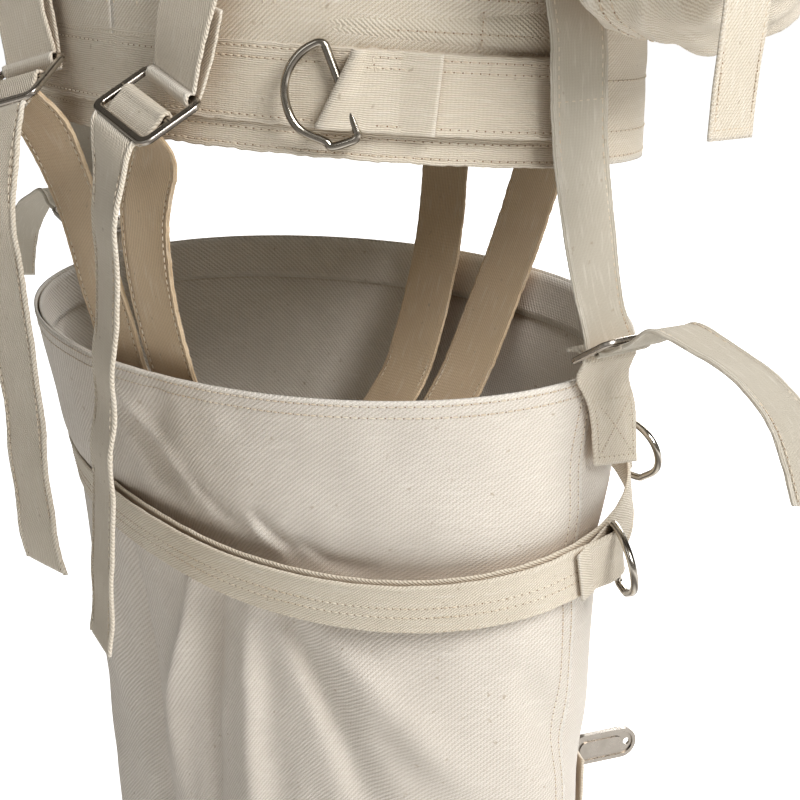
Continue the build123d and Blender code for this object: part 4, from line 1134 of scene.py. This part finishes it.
class Arm:
    """A sleeve's skin: s runs along it and x (mm, as degrees times a scale) runs round it."""

    PER_DEGREE, STEPS = 0.98, 20
    GATHERS = ((5, 6, 46, 2.6), (7, 0, 40, 1.8), (1, 8, 34, 1.8))  # station, mm past it, spread, height

    def __init__(self, side):
        rows = []
        for i, (centre, along, tall, deep) in enumerate(SLEEVE_COMMON + FOREARMS[side]):
            hint = np.array((0, -1.0, 0)) if i < len(SLEEVE_COMMON) else np.array((0, 0, 1.0))
            along = unit(along)
            across = unit(hint - along * (hint @ along))
            rows.append(list(centre) + list(along) + list(across) + [tall, deep])
        fine = smoothed(rows, self.STEPS)
        self.centre, self.along = fine[:, :3], unit(fine[:, 3:6])
        across = fine[:, 6:9]
        self.across = unit(across - self.along * np.sum(across * self.along, axis=1, keepdims=True))
        self.other = np.cross(self.along, self.across)
        self.sizes = fine[:, 9:]
        lengths = np.linalg.norm(np.diff(self.centre, axis=0), axis=1)
        self.arc = np.concatenate([[0.0], np.cumsum(lengths)])
        self.length = float(self.arc[-1])
        self.marks = self.arc[::self.STEPS]
        self.creases = waves(31 + side, (26, 70), 8)
        self.small = waves(41 + side, (12, 34), 8)

    def read(self, table, s):
        return np.stack([np.interp(s, self.arc, table[:, k]) for k in range(table.shape[1])], axis=-1)

    def folds(self, s, degrees):
        """Creases gather at the elbow, at the bend of the forearm and under the arm."""
        ring = np.sin(s / 8.5 + 0.8 * np.sin(np.radians(degrees) * 2) + 0.7 * self.small(s, degrees))
        gathers = sum(height * np.exp(-(((s - self.marks[k] - past) / spread) ** 2)) * ring
                      for k, past, spread, height in self.GATHERS)
        return gathers + 1.7 * self.creases(s, degrees * 1.7) + 0.5 * self.small(s, degrees)

    def at(self, s, x, h):
        s, x, h = np.broadcast_arrays(np.asarray(s, float), np.asarray(x, float), np.asarray(h, float))
        degrees = x / self.PER_DEGREE
        inside = np.clip(s, 0, self.length)
        calm = np.clip(inside / 26, 0.05, 1) * np.clip((self.length - inside) / 60, 0.08, 1)
        shut = np.clip((inside - self.length + 26) / 26, 0, 1)
        h = h + self.folds(inside, degrees) * calm - 1.6
        sizes = self.read(self.sizes, inside)
        tall = sizes[..., 0] + h
        deep = sizes[..., 1] * (1 - 0.72 * shut) + h
        c, n = np.cos(np.radians(degrees)), np.sin(np.radians(degrees))
        spread = np.sign(c) * np.abs(c) ** (1 - 0.35 * shut)
        base = self.read(self.centre, inside) + self.read(self.along, inside) * (s - inside)[..., None]
        return base + self.read(self.across, inside) * (tall * spread)[..., None] \
            + self.read(self.other, inside) * (deep * n)[..., None]


def sleeve(side):
    """A closed canvas sleeve, sewn shut at its end."""
    arm = Arm(side)
    label = SIDE_NAME[side]
    draft = Draft()
    s = np.linspace(-2.0, arm.length - 0.5, int(arm.length / 3))
    degrees = np.arange(0, 360, 3.0)
    outer = arm.at(s[:, None], degrees[None] * arm.PER_DEGREE, 0.0)
    inner = arm.at(s[:, None], degrees[None] * arm.PER_DEGREE, -1.8)
    weave = np.stack(np.broadcast_arrays(s[:, None], degrees[None] * arm.PER_DEGREE), axis=-1)
    front = draft.grid(outer, weave, closed=True)
    back = draft.grid(inner, weave, closed=True)
    for i in range(len(degrees)):
        draft.face((front[0, i], front[0, i + 1], back[0, i + 1], back[0, i]))
    draft.face(front[-1, :-1])
    turn, end = arm.PER_DEGREE, arm.length
    seams = [((6, d * turn), (end - 30, d * turn)) for d in (178, 183.5)]
    seams += [((row, 0), (row, 359 * turn)) for row in (7.0, 12.5, end - 8, end - 14)]
    stitched(draft, arm, seams, 0.1)
    mirrored = side == RIGHT
    draft.make(f"look_sleeve_{label}", SUIT, (CANVAS, THREAD, HOLE_SHADE), [f"sleeve_{label}"], mirror=mirrored)
    armhole_welt(arm, label, mirrored)


def armhole_welt(arm, label, mirrored):
    """The rolled seam where the sleeve is sewn to the vest."""
    degrees = np.arange(0, 360, 10)
    ring = arm.at(np.full(len(degrees), 0.8), degrees * arm.PER_DEGREE, 0.9)
    stations = [(point, arm.along[0]) for point in ring]
    course = Course(stations, ring[0] - arm.centre[0], closed=True, sharp=10)
    strap(f"look_armhole_{label}", course, 5.0, 2.2, material=CANVAS, selvedge=0.0, crown=0.5, ripple=0.1,
          mirror=mirrored)


def arm_extras(side):
    """The free strap on a sleeve, and the strap that joins the sleeve to the vest's front."""
    label = SIDE_NAME[side]
    hanging = Course([
        ((-304.8, 55.0, 828.0), (0.16, 1, 0)),
        ((-304.5, 56.5, 780.0), (0.16, 1, 0)),
        ((-303.5, 59.0, 720.0), (0.12, 1, 0)),
        ((-301.5, 61.0, 670.0), (0.06, 1, 0.03)),
        ((-299.0, 62.0, 632.0), (0.04, 1, 0.04)),
    ], (-1, 0, 0))
    pair_strap("arm_tail", side, hanging, 29.0, 2.0, f"arm_tail_{label}", material=CANVAS, ripple=0.5,
               rows=(12.0, -12.0), both=True, selvedge=0.2, lines=[((192, -12), (192, 12))])
    if side == RIGHT:
        points = [(92, -172, 703), (112, -158, 701), (134, -133, 698), (150, -107, 695), (164, -84, 692)]
    else:
        points = [(-92, -150, 844), (-116, -126, 848), (-140, -96, 852), (-160, -66, 855), (-174, -38, 856)]
    course = Course([(p, UP) for p in points], (0, -1, 0))
    strap(f"look_sleeve_strap_{label}", course, 24.0, 1.8, nodes=[f"sleeve_strap_{label}"], rows=(9.5, -9.5),
          material=TAPE, ripple=0.3)


# ---------------------------------------------------------------- collar and back closures

def collar():
    _, a, b, shift = VEST_SECTIONS[-1]
    inside = 1.2
    stations = level_stations(np.arange(0, 360, 10), a - inside, b - inside, shift, box_height("collar"))
    strap("look_collar", Course(stations, (1, 0, 0), closed=True), 26.5, 2.4, material=CANVAS,
          nodes=["collar"], rows=(10.2, -9.8), selvedge=0.1, ripple=0.2)


CLOSURES = {"upper": 970.0, "lower": 883.0}  # the middle heights of the two straps
CLOSURE_WIDTH = 29.0


def closure_oval(z):
    rows = np.array(VEST_SECTIONS, float)
    return [np.interp(z, rows[:, 0], rows[:, k]) + grow for k, grow in ((1, 3.0), (2, 3.0), (3, 0.0))]


def closure(name):
    """A strap across the back opening, folded round the buckle's middle bar."""
    z = CLOSURES[name]
    a, b, shift = closure_oval(z)
    centre = box_middle(f"closure_buckle_{name}")

    def band(start, end):
        return level_stations(np.linspace(start, end, 9), a + 1.0, b + 1.0, shift, z)

    fold = [(centre + 2.7 * turned(degrees), UP) for degrees in (60, 20, -20, -60, -100, -140)]
    right = Course(band(148, 94) + fold, (-1, 0, 0))
    lines = box_stitch(3, 26, 11)
    strap(f"look_closure_right_{name}", right, CLOSURE_WIDTH, 1.7, nodes=[f"closure_strap_{name}"],
          ripple=0.0, material=TAPE,
          lines=lines + box_stitch(right.length - 36, right.length - 18, 11, False))
    left = Course(band(32, 79), (1, 0, 0))
    strap(f"look_closure_left_{name}", left, CLOSURE_WIDTH, 1.7, rows=(11.5, -11.5), ripple=0.0,
          material=TAPE, lines=lines)


# ---------------------------------------------------------------- metal, stage and camera

def metal():
    """Finishes the CAD pieces that no look piece replaces."""
    for name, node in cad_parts.items():
        if node.hide_render:
            continue
        finish = STEEL if name.startswith("lock") or "buckle" in name else NICKEL
        node.data.materials.clear()
        node.data.materials.append(finish)


WHITE = (1.0, 1.0, 1.0, 1.0)


def area_light(name, place, aim, size, power, colour=(1, 1, 1)):
    light = bpy.data.lights.new(name, "AREA")
    light.shape = "DISK"
    light.size, light.energy, light.color = size, power, colour
    lamp = add_object(name, light)
    lamp.location = place
    lamp.rotation_euler = (Vector(aim) - Vector(place)).to_track_quat("-Z", "Y").to_euler()


def floor():
    nodes = Nodes("pale_floor")
    place = nodes.node("NewGeometry").outputs["Position"]
    tone = nodes.noise(place, 3.0, 2.0)
    colour = nodes.mix(tone, (0.93, 0.93, 0.93, 1.0), (0.96, 0.96, 0.955, 1.0))
    nodes.set(nodes.shader.inputs["Emission Color"], WHITE)
    seen = nodes.node("LightPath").outputs["Is Camera Ray"]
    nodes.set(nodes.shader.inputs["Emission Strength"], nodes.math("MULTIPLY_ADD", seen, 0.8, 0.05))
    material = nodes.finish(colour, 0.9, tone, 0.0001)
    mesh = bpy.data.meshes.new("floor")
    reach = 30.0
    corners = [(-reach, -reach, 0), (reach, -reach, 0), (reach, reach, 0), (-reach, reach, 0)]
    mesh.from_pydata(corners, [], [(0, 1, 2, 3)])
    mesh.materials.append(material)
    add_object("floor", mesh)


AMBIENT = 0.15  # how strongly the pale room lights the suit; the camera sees the room itself as white
ROOM_TINT = (1.0, 0.93, 0.82, 1.0)


def studio():
    """The floor, a room that is white to the camera and dim and warm to the suit, and three lamps."""
    floor()
    world = bpy.data.worlds.new("studio")
    bpy.context.scene.world = world
    world.use_nodes = True
    tree, link = world.node_tree, world.node_tree.links.new
    background = tree.nodes["Background"]
    seen = tree.nodes.new("ShaderNodeLightPath").outputs["Is Camera Ray"]
    strength = tree.nodes.new("ShaderNodeMapRange")
    strength.inputs["To Min"].default_value, strength.inputs["To Max"].default_value = AMBIENT, 1.0
    link(seen, strength.inputs["Value"])
    link(strength.outputs["Result"], background.inputs["Strength"])
    tint = tree.nodes.new("ShaderNodeMix")
    tint.data_type = "RGBA"
    tint.inputs[6].default_value, tint.inputs[7].default_value = ROOM_TINT, WHITE
    link(seen, tint.inputs[0])
    link(tint.outputs[2], background.inputs["Color"])
    area_light("key", (-3.95, 0.6, 3.3), (0, 0, 0.5), 2.2, 225, (1.0, 0.985, 0.975))
    area_light("rim", (-0.4, 2.6, 1.9), (0, 0, 0.6), 1.2, 4, (0.97, 0.98, 1.0))
    area_light("fill", (0.8, -3.0, 2.0), (0, 0, 0.6), 1.8, 75)
    bpy.context.scene.view_settings.view_transform = "Standard"


CAMERA_AT = Vector((-0.69128, 0.65826, 0.74171))
CAMERA_LOOK = Vector((0.6625, -0.6861, -0.3007))
CAMERA_ROLL, FOCAL_LENGTH, SENSOR_WIDTH = 0.4, 78.26, 36.0


def camera():
    """Stands behind the wearer's right side and a little above, as in the photograph."""
    lens = bpy.data.cameras.new("camera")
    lens.sensor_width, lens.lens = SENSOR_WIDTH, FOCAL_LENGTH
    lens.clip_start = 0.01
    eye = add_object("camera", lens)
    eye.location = CAMERA_AT + Vector((0, BACK_SHIFT * MM, 0))
    eye.rotation_euler = CAMERA_LOOK.to_track_quat("-Z", "Y").to_euler()
    eye.rotation_euler.rotate_axis("Z", math.radians(CAMERA_ROLL))
    bpy.context.scene.camera = eye


leg_sleeve(leg_sheet())
vest(vest_sheet())
waistband()
hip_belt()
thigh_strap()
collar()
for which in CLOSURES:
    closure(which)
for each in (RIGHT, LEFT):
    side_set(each)
    hanger_set(each)
    sleeve(each)
    arm_extras(each)
metal()
studio()
camera()
